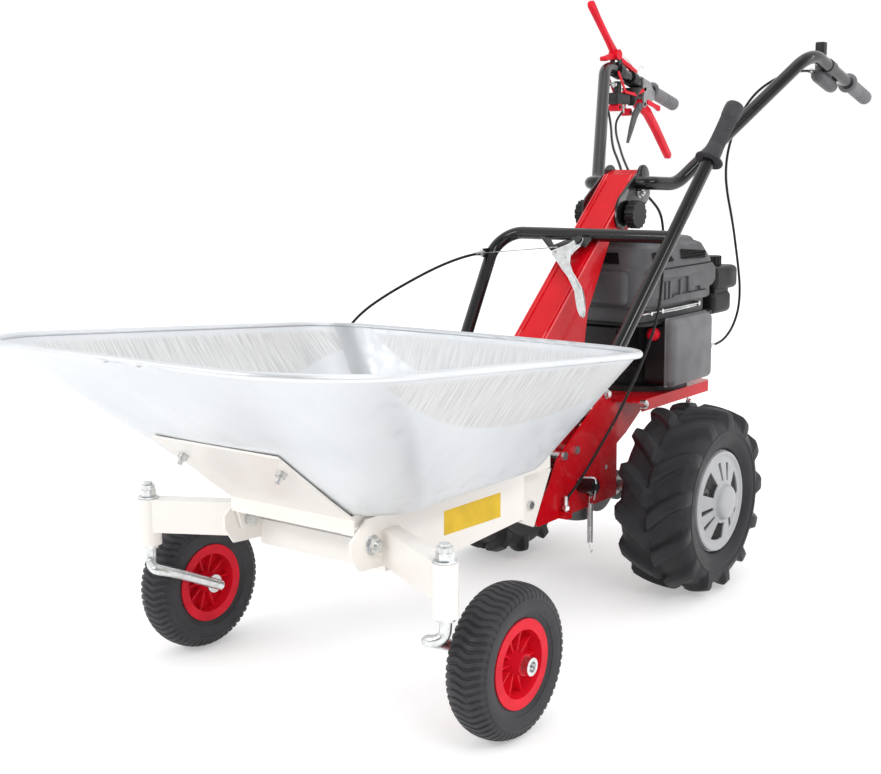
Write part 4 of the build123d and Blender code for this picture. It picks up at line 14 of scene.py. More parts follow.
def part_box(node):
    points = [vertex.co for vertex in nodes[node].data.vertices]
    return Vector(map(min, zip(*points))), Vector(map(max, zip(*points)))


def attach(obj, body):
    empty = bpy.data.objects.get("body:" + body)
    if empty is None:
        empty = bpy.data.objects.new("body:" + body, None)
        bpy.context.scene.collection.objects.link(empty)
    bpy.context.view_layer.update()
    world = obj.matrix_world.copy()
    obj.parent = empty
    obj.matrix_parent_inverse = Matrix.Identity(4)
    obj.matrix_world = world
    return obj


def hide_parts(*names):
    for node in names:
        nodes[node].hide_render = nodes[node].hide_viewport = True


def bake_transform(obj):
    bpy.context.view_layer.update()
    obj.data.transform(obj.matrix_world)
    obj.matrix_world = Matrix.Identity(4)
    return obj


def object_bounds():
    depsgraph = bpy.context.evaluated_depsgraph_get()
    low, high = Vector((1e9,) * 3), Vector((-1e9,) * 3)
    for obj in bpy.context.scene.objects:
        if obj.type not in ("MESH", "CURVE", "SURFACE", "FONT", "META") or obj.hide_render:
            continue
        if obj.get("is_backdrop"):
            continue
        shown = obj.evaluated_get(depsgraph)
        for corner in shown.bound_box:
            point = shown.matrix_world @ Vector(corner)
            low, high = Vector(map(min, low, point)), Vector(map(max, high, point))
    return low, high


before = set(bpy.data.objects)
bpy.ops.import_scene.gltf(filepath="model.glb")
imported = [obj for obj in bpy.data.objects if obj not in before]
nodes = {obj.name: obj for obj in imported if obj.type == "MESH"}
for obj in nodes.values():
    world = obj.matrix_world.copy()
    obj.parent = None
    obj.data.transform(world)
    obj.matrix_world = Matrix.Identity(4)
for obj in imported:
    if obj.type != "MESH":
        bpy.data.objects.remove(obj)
cad_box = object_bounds()
scene = bpy.context.scene
scene.view_settings.view_transform = "Standard"

# %% [markdown]
# ## The camera
# A catalogue picture is taken from a little above handle height, in front of the machine's left front
# wheel. The lens length follows from how many pixels one radian covers in the picture, so it is worked
# out from that instead of guessed. The camera is turned step by step: round the vertical, down, then a
# slight roll.

# %% Camera
PICTURE_WIDTH_PX = 881
FOCAL_PX = 1355.0
SENSOR = 36.0
EYE = Vector((2.3523, 1.5677, 0.9523))
HEADING = pi - 0.9131
LOOK_DOWN = 0.1737
ROLL = -0.0133

camera_data = bpy.data.cameras.new("camera")
camera_data.sensor_width = SENSOR
camera_data.lens = SENSOR * FOCAL_PX / PICTURE_WIDTH_PX
camera = bpy.data.objects.new("camera", camera_data)
turn = Matrix.Rotation(HEADING, 4, "Z") @ Matrix.Rotation(pi / 2 - LOOK_DOWN, 4, "X")
camera.matrix_world = Matrix.Translation(EYE) @ turn @ Matrix.Rotation(ROLL, 4, "Z")
scene.collection.objects.link(camera)
scene.camera = camera
print("Lens", round(camera_data.lens, 1), "mm")

# %% [markdown]
# ## Tools for node trees
# Light and finishes are both written as node trees. Every finish starts as one Principled shader, and real
# paint, zinc and rubber are never one even colour, so each gets a pattern on the piece's own coordinates
# that shifts its colour, its roughness and a fine bump. A few helpers keep those trees short to write.

# %% Helpers for node trees
NOISE = "TexNoise"
CELLS = "TexVoronoi"
WHITE = (1, 1, 1, 1)


def feed(tree, slot, value):
    """Links a socket to a slot, or sets a number or a colour on it."""
    if isinstance(value, bpy.types.NodeSocket):
        tree.links.new(value, slot)
    else:
        slot.default_value = value


def add_node(tree, kind, inputs, output=0, **settings):
    """Adds a node with these settings and inputs, and gives one of its outputs."""
    node = tree.nodes.new("ShaderNode" + kind)
    for name, value in settings.items():
        setattr(node, name, value)
    for key, value in inputs.items():
        feed(tree, node.inputs[key], value)
    return node.outputs[output]


def finish(name, color, roughness, **sockets):
    """A new material with these values on its shader: the material, its tree and the shader."""
    material = bpy.data.materials.new(name)
    material.use_nodes = True
    shader = material.node_tree.nodes["Principled BSDF"]
    shader.inputs["Base Color"].default_value = (*color, 1)
    shader.inputs["Roughness"].default_value = roughness
    for socket, value in sockets.items():
        shader.inputs[socket.replace("_", " ")].default_value = value
    return material, material.node_tree, shader


def pattern(tree, kind, scale, stretch=(1, 1, 1), output=0, **sockets):
    """A texture of this kind on the piece's own coordinates, with its scale in waves per metre."""
    place = add_node(tree, "TexCoord", {}, "Object")
    stretched = add_node(tree, "Mapping", {"Scale": stretch, "Vector": place})
    return add_node(tree, kind, {"Scale": scale, **sockets, "Vector": stretched}, output)


def ramp(tree, value, *stops):
    """Turns a value into a colour, or a grey where a stop is a number."""
    node = tree.nodes.new("ShaderNodeValToRGB")
    while len(node.color_ramp.elements) < len(stops):
        node.color_ramp.elements.new(0.5)
    for element, (position, color) in zip(node.color_ramp.elements, stops):
        element.position = position
        element.color = (*color, 1) if isinstance(color, tuple) else (color, color, color, 1)
    feed(tree, node.inputs["Fac"], value)
    return node.outputs["Color"]


def fade(tree, value, start, end):
    """An even change of a value between two pairs: the value, and what it becomes there."""
    inputs = {"From Min": start[0], "From Max": end[0], "To Min": start[1], "To Max": end[1]}
    return add_node(tree, "MapRange", {**inputs, "Value": value}, "Result")


def calc(tree, operation, first, second=0.0):
    """One sum on two values, each a socket or a number."""
    return add_node(tree, "Math", {0: first, 1: second}, operation=operation)


def mixed(tree, factor, first, second):
    """Two colours mixed by a factor, each a socket or a colour."""
    first, second = [(*color, 1) if isinstance(color, tuple) else color for color in (first, second)]
    return add_node(tree, "Mix", {"Factor": factor, 6: first, 7: second}, 2, data_type="RGBA")


def bump(tree, shader, height, distance, strength=0.5):
    """Presses a height pattern into the surface, to this depth in metres."""
    inputs = {"Distance": distance, "Strength": strength, "Height": height}
    feed(tree, shader.inputs["Normal"], add_node(tree, "Bump", inputs))


print("Helpers ready")

# %% [markdown]
# ## The studio
# The picture has a white sweep and soft light from all sides, with long bright lines along the tubes. A
# white world gives the soft part, and large lamps give the lines and the shadow under the wheels. The
# background is white because the floor and the world are, not because the lamps are strong: rays from the
# eye see plain white, and the light on the machine stays at an ordinary level. A mirror sees white too, but
# less of it towards the camera, where a real studio is dark, so tubes show a dark middle and pale edges.

# %% World and lamps
EYE_WAY = (0.80, 0.56, 0.2)  # towards the camera, where a real studio is dark
DARK_SIDE = 0.3


def seen_ray(tree):
    """One where a ray comes from the eye, a mirror or glass, and zero elsewhere."""
    path = tree.nodes.new("ShaderNodeLightPath").outputs
    either = calc(tree, "MAXIMUM", path["Is Camera Ray"], path["Is Glossy Ray"])
    return calc(tree, "MAXIMUM", either, path["Is Transmission Ray"])


world = bpy.data.worlds.new("white room")
world.use_nodes = True
scene.world = world
room = world.node_tree
soft_light = room.nodes["Background"]
feed(room, soft_light.inputs["Color"], WHITE)
feed(room, soft_light.inputs["Strength"], 1.0)
ray_way = add_node(room, "TexCoord", {}, "Generated")
toward = add_node(room, "VectorMath", {1: EYE_WAY, 0: ray_way}, "Value", operation="DOT_PRODUCT")
dim = fade(room, toward, (0.1, 1.0), (0.8, DARK_SIDE))
plain = calc(room, "MAXIMUM", add_node(room, "LightPath", {}, "Is Camera Ray"), dim)
seen = add_node(room, "Background", {"Color": WHITE, "Strength": plain})
choose = add_node(room, "MixShader", {0: seen_ray(room), 1: soft_light.outputs[0], 2: seen})
feed(room, room.nodes["World Output"].inputs["Surface"], choose)


def lamp(name, place, aim, size, power):
    """A soft square lamp at a place, aimed at a point."""
    data = bpy.data.lights.new(name, "AREA")
    data.shape = "RECTANGLE"
    data.size, data.size_y = size
    data.energy = power
    holder = bpy.data.objects.new(name, data)
    holder.location = place
    holder.rotation_euler = (Vector(aim) - Vector(place)).to_track_quat("-Z", "Y").to_euler()
    scene.collection.objects.link(holder)


lamp("key lamp", (1.6, 3.2, 3.0), (0, 0, 0.4), (2.4, 0.5), 37)
lamp("front lamp", (3.6, -1.2, 2.4), (0.3, 0, 0.4), (1.8, 0.6), 30)
lamp("edge lamp", (-2.6, 2.8, 1.7), (-0.4, 0, 0.6), (0.3, 2.2), 9)
lamp("top lamp", (-0.4, 0.2, 3.6), (0, 0, 0.3), (2.6, 1.6), 8)
print("Lamps:", len(bpy.data.lights))

# %% Floor
FLOOR_SIZE = 14.0
FLOOR_GREY = 0.78
FLOOR_LIFT = 0.36
FAR_LIFT = 0.12  # more of it far from the machine, where the lamps fade

floor_mesh = bpy.data.meshes.new("studio floor")
shape = bmesh.new()
bmesh.ops.create_grid(shape, x_segments=1, y_segments=1, size=FLOOR_SIZE)
shape.to_mesh(floor_mesh)
shape.free()
floor = bpy.data.objects.new("studio floor", floor_mesh)
scene.collection.objects.link(floor)
floor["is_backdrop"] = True

floor_finish, sheet, matt = finish("white floor", (FLOOR_GREY,) * 3, 0.9, Emission_Color=WHITE)
spot = add_node(sheet, "TexCoord", {}, "Object")
reach = add_node(sheet, "VectorMath", {0: spot}, "Value", operation="LENGTH")
lift = fade(sheet, reach, (1.5, FLOOR_LIFT), (6.0, FLOOR_LIFT + FAR_LIFT))
feed(sheet, matt.inputs["Emission Strength"], calc(sheet, "MULTIPLY", seen_ray(sheet), lift))
floor_mesh.materials.append(floor_finish)
print("Floor", round(floor.dimensions.x), "m across")

# %% [markdown]
# ## Galvanised sheet
# The tray is pressed from zinc-coated sheet. The press leaves a field of fine upright draw marks on each
# side wall and on the rear wall, with a clear curved lower edge, and smooth pale metal below it. Zinc also
# has a faint crystal pattern, and the lower corners are scuffed. A height line in the node tree, a
# parabola under the rim, says where the drawn field ends.

# %% Galvanised sheet
RIM_HEIGHT = 0.616
RIM_AT_X = 0.6025
RIM_SLOPE = 0.0831
SIDE_FIELD = (0.555, 0.43, 0.112)  # middle, half length and depth of the drawn field on a side wall
REAR_FIELD = (0.0, 0.29, 0.11)
BEAD_DROP = 0.009  # the rolled bead reaches this far under the rim line, and it is smooth


def field_above(tree, along, field, rim, height):
    """One above the curved lower edge of a drawn field, zero below it."""
    middle, half, depth = field
    share = calc(tree, "DIVIDE", calc(tree, "SUBTRACT", along, middle), half)
    sag = calc(tree, "SUBTRACT", 1.0, calc(tree, "MULTIPLY", share, share))
    edge = calc(tree, "SUBTRACT", rim, calc(tree, "MULTIPLY", sag, depth))
    above = calc(tree, "SUBTRACT", height, edge)
    return ramp(tree, calc(tree, "MULTIPLY", above, 60.0), (0.0, 0.0), (0.35, 1.0))


def streaks(tree, level, height, fine, long, detail):
    """Upright streaks on a wall: fine ones along its level line, long ones up it."""
    wall = {"X": calc(tree, "MULTIPLY", level, fine), "Y": calc(tree, "MULTIPLY", height, long)}
    place = add_node(tree, "CombineXYZ", wall)
    return add_node(tree, NOISE, {"Scale": 1.0, "Detail": detail, "Vector": place})


def galvanised_sheet():
    """Zinc-coated pressed sheet with drawn fields, spangle and scuffs."""
    material, tree, shader = finish("galvanised_sheet", (0.7, 0.73, 0.76), 0.4, Metallic=0.9)
    place = tree.nodes.new("ShaderNodeTexCoord")
    split = tree.nodes.new("ShaderNodeSeparateXYZ")
    tree.links.new(place.outputs["Object"], split.inputs[0])
    along, across, height = split.outputs
    surface = tree.nodes.new("ShaderNodeNewGeometry")
    facing = tree.nodes.new("ShaderNodeSeparateXYZ")
    tree.links.new(surface.outputs["Normal"], facing.inputs[0])
    rise = calc(tree, "MULTIPLY", calc(tree, "SUBTRACT", along, RIM_AT_X), RIM_SLOPE)
    rim = calc(tree, "ADD", rise, RIM_HEIGHT)
    sideways = calc(tree, "ABSOLUTE", facing.outputs["Y"])
    side = calc(tree, "GREATER_THAN", sideways, calc(tree, "ABSOLUTE", facing.outputs["X"]))
    rear = calc(tree, "LESS_THAN", along, SIDE_FIELD[0])
    on_side = calc(tree, "MULTIPLY", field_above(tree, along, SIDE_FIELD, rim, height), side)
    on_rear = calc(tree, "MULTIPLY", field_above(tree, across, REAR_FIELD, rim, height), rear)
    not_side = calc(tree, "SUBTRACT", 1.0, side)
    on_rear = calc(tree, "MULTIPLY", on_rear, not_side)
    under_bead = ramp(tree, calc(tree, "SUBTRACT", rim, height), (BEAD_DROP, 0.0), (BEAD_DROP + 0.004, 1.0))
    drawn = calc(tree, "MULTIPLY", calc(tree, "MAXIMUM", on_side, on_rear), under_bead)

    level = calc(tree, "ADD", calc(tree, "MULTIPLY", along, side), calc(tree, "MULTIPLY", across, not_side))
    marks = streaks(tree, level, height, 260.0, 16.0, 4.0)
    faint = streaks(tree, level, height, 60.0, 3.0, 2.0)
    spangle = pattern(tree, CELLS, 55.0, (1, 1, 1), 1)
    cloud = pattern(tree, NOISE, 5.0, Detail=3.0)
    scuff = pattern(tree, NOISE, 26.0, (1, 1, 2.2), Detail=6.0, Roughness=0.7)
    pale = ramp(tree, cloud, (0.3, (0.745, 0.770, 0.797)), (0.7, (0.81, 0.832, 0.854)))
    pale = mixed(tree, ramp(tree, faint, (0.40, 0.05), (0.60, 0.0)), pale, (0.58, 0.61, 0.64))
    dull, plain, bright = (0.62, 0.625, 0.63), (0.735, 0.74, 0.745), (0.82, 0.825, 0.83)
    lines = ramp(tree, marks, (0.34, dull), (0.52, plain), (0.68, bright))
    color = mixed(tree, drawn, pale, lines)
    # Painted shade: the rear of the tray turns greyer above a height, on the same zinc as the rest.
    on_wall = ramp(tree, height, (0.40, 0.0), (0.47, 0.36))
    rear_wall_shade = calc(tree, "MULTIPLY", calc(tree, "MULTIPLY", rear, not_side), on_wall)
    color = mixed(tree, rear_wall_shade, color, (0.50, 0.52, 0.54))
    low = ramp(tree, height, (0.37, 1.0), (0.43, 0.0))
    rubbed = calc(tree, "MULTIPLY", ramp(tree, scuff, (0.50, 0.0), (0.74, 0.40)), low)
    color = mixed(tree, rubbed, color, (0.42, 0.43, 0.44))
    feed(tree, shader.inputs["Base Color"], color)
    grain = ramp(tree, spangle, (0.0, 0.40), (1.0, 0.52))
    feed(tree, shader.inputs["Roughness"], mixed(tree, drawn, grain, (0.5, 0.5, 0.5)))
    bump(tree, shader, calc(tree, "MULTIPLY", marks, drawn), 0.0003, 0.4)
    return material


GALVANISED = galvanised_sheet()
print("Made", GALVANISED.name)

# %% [markdown]
# ## Paints
# The cart is cream, the tractor a deep gloss red, and the tubes black enamel. Sprayed paint dries with a
# slight orange-peel wave, and it fades a little from panel to panel. The wave is a low noise bump, and the
# wet look comes from a clear coat, which keeps the highlights sharp over a softer base.

# %% Paints
def worked(made, color, sheen, skin, depth, strength=0.5):
    """Gives a finish its patterns: a colour, a roughness unless it is even, and a skin with a depth."""
    material, tree, shader = made
    feed(tree, shader.inputs["Base Color"], color)
    if sheen:
        feed(tree, shader.inputs["Roughness"], sheen)
    bump(tree, shader, skin, depth, strength)
    return material


def sprayed(name, light, dark, roughness, coat, peel, mirror=0.3):
    """Sprayed paint that drifts between two close shades under a clear coat."""
    made = finish(name, light, roughness, Coat_Weight=coat, Coat_Roughness=0.06, Specular_IOR_Level=mirror)
    tree = made[1]
    color = ramp(tree, pattern(tree, NOISE, 7.0, Detail=4.0, Roughness=0.6), (0.35, dark), (0.65, light))
    worn = pattern(tree, NOISE, 40.0, Detail=5.0)
    sheen = ramp(tree, worn, (0.3, roughness - 0.06), (0.7, roughness + 0.08))
    return worked(made, color, sheen, pattern(tree, NOISE, 260.0, Detail=1.0), peel)


CREAM = sprayed("cream_paint", (0.975, 0.945, 0.90), (0.965, 0.925, 0.87), 0.36, 0.2, 0.00025)
RED = sprayed("red_paint", (0.66, 0.004, 0.012), (0.57, 0.003, 0.009), 0.26, 0.22, 0.00025, 0.12)
BLACK = sprayed("black_enamel", (0.007, 0.007, 0.008), (0.005, 0.005, 0.006), 0.24, 0.5, 0.0002)
# Painted highlight: a lighter red for the column's beads, standing for the bright lines along its edges.
RED_BEAD_HIGHLIGHT = sprayed("red_bead_painted_highlight", (0.80, 0.085, 0.095), (0.74, 0.07, 0.08), 0.2, 0.8, 0.0001)
SILVER = sprayed("silver_paint", (0.46, 0.465, 0.475), (0.40, 0.405, 0.415), 0.36, 0.3, 0.00015)
print("Made the paints")

# %% [markdown]
# ## Plated and bare metal
# Nuts, rods and the lever are zinc plated: bright, a little blue, with duller patches where hands and
# tools have been. The gear case and the engine are cast, with a sandy skin.

# %% Metals
def plated(name, bright, dull, roughness):
    """Plated or bare metal with duller patches."""
    made = finish(name, bright, roughness, Metallic=1.0)
    tree = made[1]
    patches = pattern(tree, NOISE, 60.0, Detail=5.0, Roughness=0.65)
    color = ramp(tree, patches, (0.35, dull), (0.62, bright))
    sheen = ramp(tree, patches, (0.3, roughness + 0.16), (0.7, roughness))
    return worked(made, color, sheen, pattern(tree, NOISE, 900.0, Detail=2.0), 0.00008)


def cast(name, color, depth):
    """A cast skin with the grain of its mould."""
    made = finish(name, color, 0.55, Metallic=0.7)
    grain = pattern(made[1], NOISE, 420.0, Detail=3.0)
    shade = tuple(0.72 * channel for channel in color)
    return worked(made, ramp(made[1], grain, (0.35, shade), (0.65, color)), None, grain, depth, 0.6)


ZINC = plated("zinc_plate", (0.80, 0.815, 0.83), (0.60, 0.61, 0.60), 0.22)
STEEL = plated("bright_steel", (0.62, 0.62, 0.63), (0.45, 0.45, 0.46), 0.3)
BRONZE = plated("bronze", (0.62, 0.42, 0.20), (0.48, 0.31, 0.14), 0.34)
CASTING = cast("cast_case", (0.16, 0.16, 0.165), 0.0004)
PERCH_CAST = cast("cast_perch", (0.42, 0.42, 0.43), 0.0001)
DARK_CASTING = cast("dark_casting", (0.05, 0.05, 0.052), 0.0003)
print("Made the metals")

# %% [markdown]
# ## Plastics and rubber
# Moulded covers have a spark-eroded grain that scatters light, gloss plastic does not, and rubber is dull
# with a dusty bloom. The grain is a dense cell pattern pressed in by a tenth of a millimetre or so.

# %% Plastics and rubber
def moulded(name, color, roughness, grain_depth, mirror):
    """Moulded plastic with a fine grain and a slight drift in shade."""
    made = finish(name, color, roughness, Specular_IOR_Level=mirror)
    tree = made[1]
    drift = pattern(tree, NOISE, 18.0, Detail=4.0)
    shade = tuple(0.8 * channel for channel in color)
    sheen = ramp(tree, drift, (0.3, roughness + 0.08), (0.7, roughness - 0.05))
    color = ramp(tree, drift, (0.35, shade), (0.65, color))
    return worked(made, color, sheen, pattern(tree, CELLS, 900.0), grain_depth)


def moulded_rubber(name, color, bloom, roughness):
    """Rubber with a dusty bloom in patches and a faint grain."""
    made = finish(name, color, roughness, Specular_IOR_Level=0.22)
    tree = made[1]
    dust = pattern(tree, NOISE, 14.0, Detail=6.0, Roughness=0.7)
    sheen = ramp(tree, dust, (0.35, roughness - 0.08), (0.7, roughness + 0.12))
    color = ramp(tree, dust, (0.42, color), (0.72, bloom))
    return worked(made, color, sheen, pattern(tree, NOISE, 500.0, Detail=3.0), 0.0002)


BLACK_PLASTIC = moulded("black_plastic", (0.013, 0.013, 0.014), 0.42, 0.00012, 0.3)
# This grey is partly the plastic's own dark tone and partly painted sheen, lifted for the bright highlights
# on the engine cover.
DARK_PLASTIC_PAINTED_SHEEN = moulded("dark_grey_plastic_painted_sheen", (0.100, 0.100, 0.106), 0.40, 0.00010, 0.35)
COVER_PLASTIC = moulded("grey_cover_plastic", (0.180, 0.179, 0.187), 0.44, 0.00010, 0.35)
CONTROL_PLASTIC = moulded("control_plastic", (0.020, 0.020, 0.021), 0.40, 0.0001, 0.35)
RED_PLASTIC = moulded("red_plastic", (0.86, 0.014, 0.036), 0.28, 0.00003, 0.14)
PATCH = moulded("blank_patch", (0.92, 0.60, 0.02), 0.34, 0.00002, 0.3)
TYRE = moulded_rubber("tyre_rubber", (0.021, 0.021, 0.024), (0.036, 0.036, 0.040), 0.46)
# Painted light: the front tyres are a lighter copy of the tyre rubber.
FRONT_TYRE_PAINTED_LIGHT = moulded_rubber("front_tyre_rubber_painted_light", (0.038, 0.038, 0.042), (0.060, 0.060, 0.066), 0.46)
GRIP = moulded_rubber("grip_rubber", (0.050, 0.049, 0.055), (0.070, 0.069, 0.076), 0.50)
# The handlebar grips are far lighter than the tipping grip: partly their own grey, partly painted light where
# they face the lamps.
HAND_GRIP_PAINTED_LIGHT = moulded_rubber("hand_grip_rubber_painted_light", (0.20, 0.198, 0.212), (0.25, 0.247, 0.263), 0.48)
SHEATH = moulded_rubber("cable_sheath", (0.012, 0.012, 0.013), (0.018, 0.018, 0.019), 0.38)
print("Made the plastics and rubber")

# %% [markdown]
# ## Paint the frame's pieces
# The frame's own pieces are real shapes, so they stay. Each only needs its finish, and the list below
# reads like a paint shop's job card.

# %% Paint the frame
JOB_CARD = {
    GALVANISED: ["tray"],
    CREAM: ["cart_frame", "caster_arm_left", "caster_arm_right", "tipping_frame"],
    RED: ["column", "hitch_plate_left", "hitch_plate_right", "engine_plate"],
    BLACK: [
        "tip_handle", "handlebar_bracket", "handlebar_left", "handlebar_right", "hitch_coupler", "muffler",
    ],
    ZINC: [
        "caster_fork_left", "caster_fork_right", "caster_nuts_left", "caster_nuts_right", "tray_bolts",
        "frame_bolts", "release_lever", "latch_hook", "hang_spring",
    ],
    STEEL: ["drive_axle", "worm_shaft", "axle_bearings", "crankshaft", "rear_rims"],
    BRONZE: ["worm_wheel"],
    CASTING: ["gearbox_housing", "carburettor"],
    DARK_CASTING: ["engine_block"],
    SILVER: ["hub_caps"],
    TYRE: ["rear_tyre_left", "rear_tyre_right", "front_tyre_left", "front_tyre_right"],
    GRIP: ["tip_grip", "handlebar_grips", "drive_belt"],
    BLACK_PLASTIC: ["fuel_tank", "fuel_cap", "airbox", "starter_handle", "clamp_knobs"],
    DARK_PLASTIC_PAINTED_SHEEN: ["engine_shroud"],
    COVER_PLASTIC: ["airbox_cover"],
    CONTROL_PLASTIC: ["right_control_housing", "throttle_housing", "safety_lever", "throttle_lever"],
    RED_PLASTIC: ["clutch_lever", "reverse_lever", "primer_bulb", "front_rim_left", "front_rim_right"],
    SHEATH: ["throttle_cable", "lever_cables", "release_cable"],
}
for material, painted in JOB_CARD.items():
    for name in painted:
        nodes[name].data.materials.clear()
        nodes[name].data.materials.append(material)
print("Painted", sum(len(painted) for painted in JOB_CARD.values()), "of", len(nodes), "nodes")

# %% [markdown]
# ## Cables
# Four control cables in black sheaths hang between the levers and what they work. A stiff cable lies in
# long smooth curves, so each is a NURBS curve whose control points are its route. Three of them run from
# the handlebar to the tractor, and each curve gives its tube as a mesh.

# %% Cable routes
CABLE_D = 0.006
THROTTLE_ROUTE = [
    (-0.8135, 0.252, 1.124), (-0.7715, 0.252, 1.124), (-0.7255, 0.236, 1.118), (-0.6895, 0.207, 1.1),
    (-0.6575, 0.182, 1.072), (-0.6315, 0.165, 1.034), (-0.6115, 0.152, 0.988), (-0.5995, 0.143, 0.938),
    (-0.6055, 0.136, 0.888), (-0.6295, 0.13, 0.842), (-0.6575, 0.126, 0.8), (-0.6835, 0.123, 0.754),
    (-0.7035, 0.121, 0.706), (-0.7215, 0.12, 0.658), (-0.7315, 0.121, 0.608), (-0.7215, 0.124, 0.56),
    (-0.6875, 0.128, 0.522), (-0.6415, 0.132, 0.498), (-0.5875, 0.135, 0.486), (-0.5375, 0.135, 0.486),
]
CLUTCH_ROUTE = [
    (-0.8275, -0.27, 1.044), (-0.7825, -0.262, 1.024), (-0.7395, -0.24, 0.998), (-0.6995, -0.212, 0.974),
    (-0.6575, -0.18, 0.954), (-0.6125, -0.148, 0.936), (-0.5675, -0.114, 0.918), (-0.5235, -0.078, 0.898),
    (-0.4815, -0.04, 0.876), (-0.4495, -0.002, 0.854), (-0.4315, 0.036, 0.832), (-0.4135, 0.07, 0.806),
    (-0.3875, 0.092, 0.772), (-0.3595, 0.108, 0.732), (-0.3335, 0.122, 0.69), (-0.3095, 0.132, 0.644),
    (-0.2835, 0.14, 0.598), (-0.2495, 0.146, 0.554), (-0.2095, 0.15, 0.512), (-0.1675, 0.152, 0.47),
    (-0.1255, 0.151, 0.428), (-0.0855, 0.147, 0.384), (-0.0475, 0.138, 0.34), (-0.0175, 0.124, 0.294),
    (0.0025, 0.104, 0.25), (0.0085, 0.086, 0.226), (0.0085, 0.086, 0.199),
]
REVERSE_ROUTE = [
    (-0.7675, -0.272, 1.112), (-0.7355, -0.272, 1.112), (-0.6975, -0.246, 1.076), (-0.6575, -0.21, 1.03),
    (-0.6095, -0.176, 0.998), (-0.5575, -0.144, 0.972), (-0.5055, -0.108, 0.946), (-0.4615, -0.07, 0.922),
    (-0.4235, -0.038, 0.898), (-0.3875, -0.016, 0.878), (-0.3475, -0.006, 0.868),
]
RELEASE_ROUTE = [
    (-0.1195, -0.2151, 0.722), (-0.0875, -0.2151, 0.722), (-0.0475, -0.238, 0.712),
    (-0.0075, -0.272, 0.692), (0.0305, -0.312, 0.664), (0.0665, -0.352, 0.634), (0.0985, -0.39, 0.6),
    (0.1245, -0.418, 0.558), (0.1405, -0.424, 0.51), (0.1505, -0.402, 0.462), (0.1585, -0.36, 0.424),
    (0.1685, -0.312, 0.394), (0.1805, -0.262, 0.368), (0.1925, -0.224, 0.35), (0.1925, -0.184, 0.35),
]
print("Route points:", len(THROTTLE_ROUTE + CLUTCH_ROUTE + REVERSE_ROUTE + RELEASE_ROUTE))

# %% Cables
def smooth_line(name, route, radius=0.0, rounds=2):
    """A NURBS curve that has the route as its control points, with a round section of this radius."""
    line = bpy.data.curves.new(name, "CURVE")
    line.dimensions = "3D"
    spline = line.splines.new("NURBS")
    spline.points.add(len(route) - 1)
    for point, place in zip(spline.points, route):
        point.co = (*place, 1)
    spline.order_u = 3
    spline.use_endpoint_u = True
    spline.resolution_u = 8
    line.bevel_depth = radius
    line.bevel_resolution = rounds
    line.use_fill_caps = True
    return line


def curve_mesh(line):
    """A curve as a mesh."""
    holder = bpy.data.objects.new(line.name, line)
    mesh = bpy.data.meshes.new_from_object(holder)
    bpy.data.objects.remove(holder)
    return mesh


def place_piece(name, data, body=None, node=None):
    """Puts a mesh or a curve in the scene, with the body it rides on and the node it replaces."""
    piece = bpy.data.objects.new(name, data)
    scene.collection.objects.link(piece)
    if body:
        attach(piece, body)
    if node:
        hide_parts(node)
    return piece


def cable(name, route, node):
    """A cable along a route, in place of a node of the frame."""
    line = smooth_line(name, route, rounds=3)
    middle = [vertex.co.copy() for vertex in curve_mesh(line).vertices]
    line.bevel_depth = CABLE_D / 2
    tube = curve_mesh(line)
    tube.name = name
    tube.materials.clear()
    tube.materials.append(SHEATH)
    tube.shade_smooth()
    piece = place_piece(name, tube, node=node)
    return piece


throttle_line = cable("throttle_line", THROTTLE_ROUTE, "throttle_cable")
clutch_line = cable("clutch_line", CLUTCH_ROUTE, "lever_cables")
reverse_line = cable("reverse_line", REVERSE_ROUTE, "lever_cables")
release_line = cable("release_line", RELEASE_ROUTE, "release_cable")
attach(release_line, "tipping_tray")
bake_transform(throttle_line)
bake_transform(clutch_line)
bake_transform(reverse_line)
print("Cables:", throttle_line.name, clutch_line.name, reverse_line.name, release_line.name)

# %% [markdown]
# ## Making a piece
# New pieces are shaped in a bmesh, where each step is one operator, and then handed to the scene. Most
# turned parts are a profile spun round an axle. Edges sharper than a set angle stay crisp, and the rest is
# shaded smooth.

# %% Helpers for pieces
SIDES = (("left", 1), ("right", -1))
MERGE = 1e-6  # points closer than this are one


def make_piece(name, shape, material, body, sharp=32, node=None):
    """Turns a bmesh into a piece that rides on a body, and replaces a node where one is named."""
    mesh = bpy.data.meshes.new(name)
    shape.to_mesh(mesh)
    shape.free()
    mesh.materials.append(material)
    mesh.shade_smooth()
    mesh.set_sharp_from_angle(angle=radians(sharp))
    return place_piece(name, mesh, body, node)


def spun(profile, steps, closed=False):
    """A bmesh of a profile, pairs of place along Y and radius, spun once round the Y axis."""
    shape = bmesh.new()
    points = [shape.verts.new((radius, along, 0)) for along, radius in profile]
    edges = [shape.edges.new(pair) for pair in zip(points, points[1:])]
    if closed:
        edges.append(shape.edges.new((points[-1], points[0])))
    bmesh.ops.spin(
        shape, geom=points + edges, cent=(0, 0, 0), axis=(0, 1, 0), angle=2 * pi, steps=steps, use_merge=True
    )
    bmesh.ops.remove_doubles(shape, verts=shape.verts, dist=MERGE)
    bmesh.ops.recalc_face_normals(shape, faces=shape.faces)
    return shape


def to_side(side, *places):
    """Places on the left of the machine, or their mirror images on the right."""
    return [(x, side * y, z) for x, y, z in places]


def joined(*shapes):
    """One bmesh that holds all of these."""
    whole = bmesh.new()
    for shape in shapes:
        mesh = bpy.data.meshes.new("part")
        shape.to_mesh(mesh)
        shape.free()
        whole.from_mesh(mesh)
        bpy.data.meshes.remove(mesh)
    return whole


print("Piece helpers ready")

# %% [markdown]
# ## Front tyres
# The small pneumatic tyres carry a tread of close wavy ribs that run across and roll over the shoulders.
# The section is spun with six steps to each rib, every rib's groove is pressed in, and then each lateral
# line of points is turned a little about the axle, which bends the straight ribs into waves.

